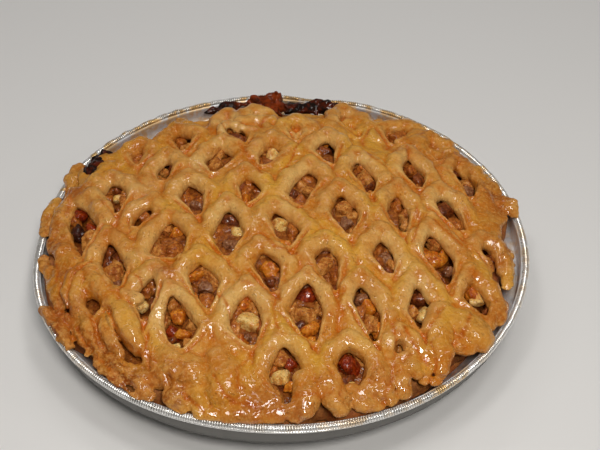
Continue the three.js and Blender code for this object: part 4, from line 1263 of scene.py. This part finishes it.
# Each look: the light, dark and stained colours, the roughness and the share of coat.
CORE_LOOK = ((0.38, 0.115, 0.014), (0.22, 0.052, 0.005), (0.12, 0.020, 0.003), 0.5, 0.4)
FRUIT_LOOKS = {
    "pale": ((0.90, 0.60, 0.22), (0.76, 0.42, 0.09), (0.56, 0.18, 0.015), 0.5, 0.3),
    "tan": ((0.66, 0.290, 0.062), (0.44, 0.135, 0.016), (0.30, 0.058, 0.005), 0.6, 0.3),
    "cinnamon": ((0.54, 0.175, 0.024), (0.34, 0.078, 0.007), (0.20, 0.034, 0.003), 0.5, 0.45),
    "orange": ((0.72, 0.255, 0.018), (0.54, 0.125, 0.005), (0.34, 0.045, 0.003), 0.42, 0.55),
    "plum": ((0.36, 0.160, 0.070), (0.20, 0.058, 0.016), (0.12, 0.026, 0.005), 0.5, 0.4),
    "dark": ((0.28, 0.068, 0.010), (0.15, 0.028, 0.004), (0.07, 0.012, 0.002), 0.45, 0.45),
    "caramel": ((0.36, 0.045, 0.004), (0.20, 0.014, 0.002), (0.09, 0.006, 0.002), 0.25, 0.8),
    "char": ((0.06, 0.012, 0.006), (0.03, 0.008, 0.004), (0.015, 0.006, 0.004), 0.3, 0.6),
}


def unit_ball(count):
    """A cube of count squares a side, blown up to a ball: directions and faces."""
    known = {}
    faces = []
    for axis, side, i, j in itertools.product(range(3), (0, count), range(count), range(count)):
        corners = []
        for a, b in ((0, 0), (1, 0), (1, 1), (0, 1)):
            p = [0, 0, 0]
            p[axis] = side
            p[(axis + 1) % 3] = i + a
            p[(axis + 2) % 3] = j + b
            corners.append(known.setdefault(tuple(p), len(known)))
        faces.append(corners if side else corners[::-1])
    p = np.tan((np.array(list(known), float) / count * 2 - 1) * math.pi / 4)
    return p / np.linalg.norm(p, axis=1)[:, None], np.array(faces)


BALL, BALL_FACES = unit_ball(12)
FILLING_RADIUS = 106

# Stands for the core's top until its height is known.
ABOVE = 60.0

# Pieces by chance: kinds, some likelier than others, pitch, how far off it, sizes, and how near they may lie.
KINDS = ["cinnamon", "cinnamon", "orange", "tan", "tan", "cinnamon", "dark", "tan"]
PITCH = 5.4
OFF_PITCH = 1.6
SMALLEST = 6.5
LARGEST = 11.0
NEAREST = 0.40

# The depth of a piece's top under the dome, how much more it is under the pastry's edge and for dark, sticky
# pieces, and the share of a piece's size that its middle lies under its top.
DEPTH = 4.1
DEPTH_UNDER_EDGE = 1.5
DEPTH_STICKY = 0.6
MIDDLE_SHARE = 0.42


def chunk_points(random, size, kind):
    """A cut piece of fruit whose edges have softened, about size across."""
    normals = [side * axis for axis in np.eye(3) for side in (1, -1)]
    reach = [1.0, 1.0, 0.8, 0.8, 0.72, 0.72]
    for _ in range(3):
        n = random.normal(size=3)
        normals.append(n / np.linalg.norm(n))
        reach.append(0.85)
    reach = np.array(reach) * random.uniform(0.75, 1.15, len(reach))
    tilt = np.array([n + random.normal(size=3) * 0.16 for n in normals])
    tilt /= np.linalg.norm(tilt, axis=1)[:, None]
    facing = np.maximum(BALL @ tilt.T, 1e-3)
    power = 3.0 if kind in ("caramel", "char", "plum") else 3.8
    distance = (((facing / reach) ** power).sum(1)) ** (-1 / power)
    points = BALL * distance[:, None] * size / 2
    x, y, z = (points + random.uniform(-50, 50, 3)).T
    bumpy = lumps(x, y, z, (0.24, size * 0.45, 30), (0.18, size * 0.2, 31), (0.10, size * 0.1, 32))
    points = points * (1 + bumpy * (0.5 if kind == "pale" else 1.0))[:, None]
    turn = np.linalg.qr(random.normal(size=(3, 3)))[0]
    if np.linalg.det(turn) < 0:
        turn[:, 0] *= -1
    return points @ turn.T


def build_core(material):
    """The filling as one body, rough on top, for the pieces of fruit to lie on."""
    outside = tin_line(FOIL + 2 * CRUST_GAP + CRUST)[:-3]
    foot = (outside[-1][0] - 1.2, outside[-1][1] - 1.2)
    shoulder = (CRUST_EDGE_RADIUS - CRUST - 2.4, 27.2)
    profile = [*outside[:-1], foot, *parted(foot, shoulder, 4), shoulder]
    profile += [(r, ABOVE) for r in np.linspace(FILLING_RADIUS, 1.2, 88)] + [(0, ABOVE)]

    def shape(points):
        x, y, z = points.T
        top = sheet_top(x, y) - THICKNESS - 0.2
        top = top + 1.2 * noise(x, y, x * 0, 7, 40) + 0.7 * noise(x, y, x * 0, 3, 41)
        return settle(np.stack([x, y, np.where(z == ABOVE, np.maximum(top, 24.0), z)], -1))

    mesh = closed_mesh("filling_core", *lathe(profile, 480, shape))
    add_piece(mesh, "apple_filling", material)


def under_pastry(x, y):
    """How far under the pastry a place is, below zero in an opening."""
    return float(openings_near(np.array([x]), np.array([y]))["distance"][0])


def build_fruit(materials):
    """The fruit that can be told apart, and pieces by chance between it wherever an opening shows them."""
    random = np.random.RandomState(17)
    placed = [(kind, float(x), float(y), float(size)) for kind, x, y, size in FRUIT]
    for i, j in itertools.product(range(-21, 22), repeat=2):
        x = PITCH * i + random.uniform(-OFF_PITCH, OFF_PITCH)
        y = PITCH * j + random.uniform(-OFF_PITCH, OFF_PITCH)
        size = random.uniform(SMALLEST, LARGEST)
        kind = KINDS[random.randint(len(KINDS))]
        if math.hypot(x, y) > FILLING_RADIUS or under_pastry(x, y) > 3.5:
            continue
        if all(math.hypot(x - a, y - b) >= NEAREST * (s + size) for _, a, b, s in placed):
            placed.append((kind, x, y, size))
    shapes = {}
    for kind, x, y, size in placed:
        points = chunk_points(random, size * 1.35, kind)
        depth = DEPTH + random.uniform(-0.9, 1.0) + (DEPTH_UNDER_EDGE if under_pastry(x, y) > -1.5 else 0)
        if kind in ("caramel", "char"):
            depth += DEPTH_STICKY
        points = points + [x, y, float(sheet_top(x, y)) - depth - size * MIDDLE_SHARE]
        shapes.setdefault(kind, []).append(points)
    for kind, parts in shapes.items():
        points = np.vstack(parts)
        x, y, z = points.T
        covered = smooth_step(openings_near(x, y)["distance"], -2.5, 1.5)
        points[:, 2] = soft_min(z, sheet_top(x, y) - 2.2 - 4.6 * covered, 1.4)
        faces = np.vstack([BALL_FACES + n * len(BALL) for n in range(len(parts))]).tolist()
        mesh = closed_mesh(f"fruit_{kind}", points, faces)
        add_piece(mesh, "apple_filling", materials[kind])


# ---- burnt juice ----

# Lumps of juice: azimuth, distance out, half length, half width, half height, height of the middle.
BURNT = {
    "burnt_juice_back": [
        (94, 113.5, 8, 4.4, 3.6, 29.6), (91, 114.5, 4, 3, 4.6, 30.2), (96, 113, 4, 3, 3.8, 30),
        (93, 107, 6, 5.5, 2.6, 30.4), (92, 101.5, 4.5, 4, 2.2, 31.4), (103, 112.5, 9, 2.6, 2, 29.6),
        (110, 112, 5, 2.2, 1.8, 29.2), (84, 105.5, 11, 4, 2.6, 30.4), (79, 108, 5, 3.6, 3.2, 30.6),
        (76, 109.5, 5, 4.2, 4, 30.8), (72.5, 108.5, 4, 3.2, 3, 30.8),
    ],
    "burnt_juice_left": [
        (149, 112, 8, 4, 3.8, 31.2), (146, 110, 5, 3.8, 4.2, 31.6), (152, 109.5, 6, 4.6, 3.2, 34),
        (154.5, 106.5, 5, 3.6, 2.6, 35.4),
    ],
}
BURNT_STEP = 0.8
BURNT_MARGIN = 16


def build_burnt_juice(material):
    """The juice burnt on the rim, each place a heap of rough lumps."""
    for node, lumps_of_juice in BURNT.items():
        places = np.array([out * turned(azimuth) for azimuth, out, *_ in lumps_of_juice])
        low = [*(places.min(0) - BURNT_MARGIN), 26.0]
        high = [*(places.max(0) + BURNT_MARGIN), 41.0]
        axes = [np.arange(a, b, BURNT_STEP) for a, b in zip(low, high)]
        x, y, z = np.meshgrid(*axes, indexing="ij")
        field = None
        for (azimuth, _, along, across, height, rise), (cx, cy) in zip(lumps_of_juice, places):
            cos, sin = turned(azimuth)
            radial = (x - cx) * cos + (y - cy) * sin
            sideways = (y - cy) * cos - (x - cx) * sin
            k = np.sqrt((radial / across) ** 2 + (sideways / along) ** 2 + ((z - rise) / height) ** 2)
            distance = (k - 1) * min(across, height)
            field = distance if field is None else soft_min(field, distance, 2.0)
        field = field + 1.3 * noise(x, y, z, 4.5, 50) + 1.0 * noise(x, y, z, 2.4, 51)
        mesh = closed_mesh(node + "_crust", *largest_part(*surface_of(field, low, BURNT_STEP)))
        azimuth = azimuth_of(*points_of(mesh)[:, :2].T)
        paint(mesh, red=0.9 * smooth_step(azimuth, 86, 90) * (1 - smooth_step(azimuth, 99, 104)))
        add_piece(mesh, node, material)


foil_body = foil_material("foil_body", (0.78, 0.78, 0.79), 0.42, 0.55)
foil_bead = foil_material("foil_bead", (0.95, 0.94, 0.92), 0.22, 0.6)
build_tin(foil_body, foil_bead)
build_crust(crust_material())
build_lattice(pastry_material())
build_core(fruit_material("filling_core", *CORE_LOOK))
build_fruit({kind: fruit_material(f"fruit_{kind}", *look) for kind, look in FRUIT_LOOKS.items()})
build_burnt_juice(burnt_material())

# ---- floor, light and camera ----

FLOOR_SIZE = 2.5
LIGHT_TARGET = Vector((0, 0, 0.03))
FRONT_WHITE = (1.0, 0.97, 0.92)
WARM_WHITE = (1.0, 0.98, 0.95)
SIDE_WHITE = (1.0, 0.97, 0.94)
WHITE = (1.0, 1.0, 1.0)


def stage_floor():
    mesh = bpy.data.meshes.new("floor")
    corners = [(FLOOR_SIZE * x, FLOOR_SIZE * y, 0) for x, y in ((-1, -1), (1, -1), (1, 1), (-1, 1))]
    mesh.from_pydata(corners, [], [(0, 1, 2, 3)])
    floor = bpy.data.objects.new("floor", mesh)
    bpy.context.scene.collection.objects.link(floor)
    mesh.materials.append(Nodes("floor").finish(colour=(0.80, 0.79, 0.78), roughness=0.7))


def area_light(name, place, size, power, colour, mirrored=True, lit=True):
    """A light aimed at the pie: mirrored where it shows in gloss, lit where it lights matt surfaces."""
    data = bpy.data.lights.new(name, "AREA")
    data.shape = "RECTANGLE"
    data.size, data.size_y = size
    data.energy = power
    data.color = colour
    light = bpy.data.objects.new(name, data)
    light.location = place
    light.rotation_euler = (LIGHT_TARGET - Vector(place)).to_track_quat("-Z", "Y").to_euler()
    light.visible_glossy = mirrored
    light.visible_diffuse = lit
    bpy.context.scene.collection.objects.link(light)


stage_floor()
area_light("front", (0.10, -0.62, 0.80), (0.20, 0.20), 4.3, FRONT_WHITE)
area_light("top", (0.26, -0.12, 1.1), (0.20, 0.20), 1.7, WARM_WHITE)
area_light("top left", (-0.30, -0.20, 1.1), (0.20, 0.20), 1.4, WARM_WHITE)
area_light("back", (0.15, 0.35, 1.0), (0.20, 0.20), 0.5, WARM_WHITE)
area_light("overhead", (-0.3, 0.3, 1.5), (1.6, 1.2), 2.1, WARM_WHITE, mirrored=False)
area_light("side", (1.0, -0.25, 0.8), (0.16, 0.16), 0.5, SIDE_WHITE)
area_light("rim strip", (-0.3, 0.6, 0.9), (0.9, 0.06), 0.6, WHITE)
area_light("glint", (0.05, -0.30, 1.05), (0.18, 0.18), 2.2, WHITE, lit=False)
world = bpy.data.worlds.new("world")
world.use_nodes = True
background = world.node_tree.nodes["Background"]
background.inputs["Color"].default_value = (1.0, 0.98, 0.96, 1.0)
background.inputs["Strength"].default_value = 0.06
bpy.context.scene.world = world
bpy.context.scene.view_settings.view_transform = "Standard"

# The camera that was fitted to the rim's ellipse in the photo, and where the rim's middle is in that picture.
ELEVATION = math.radians(42.192)
DISTANCE = 0.59507
ROLL = math.radians(-0.711)
PICTURE_WIDTH = 600.0
PICTURE_HEIGHT = 450.0
RIM_IN_PICTURE = (279.2, 237.0)
camera_data = bpy.data.cameras.new("camera")
camera_data.sensor_width = 36.0
camera_data.lens = 72.0
camera_data.shift_x = (PICTURE_WIDTH / 2 - RIM_IN_PICTURE[0]) / PICTURE_WIDTH
camera_data.shift_y = (RIM_IN_PICTURE[1] - PICTURE_HEIGHT / 2) / PICTURE_WIDTH
camera_data.clip_start = 0.01
camera = bpy.data.objects.new("camera", camera_data)
bpy.context.scene.collection.objects.link(camera)
rim = Vector((RIM_SHIFT * MM, 0, TIN_HEIGHT * MM))
towards_camera = Vector((0, -math.cos(ELEVATION), math.sin(ELEVATION)))
turn = towards_camera.to_track_quat("Z", "Y").to_matrix().to_4x4() @ Matrix.Rotation(ROLL, 4, "Z")
camera.matrix_world = Matrix.Translation(rim + towards_camera * DISTANCE) @ turn
bpy.context.scene.camera = camera
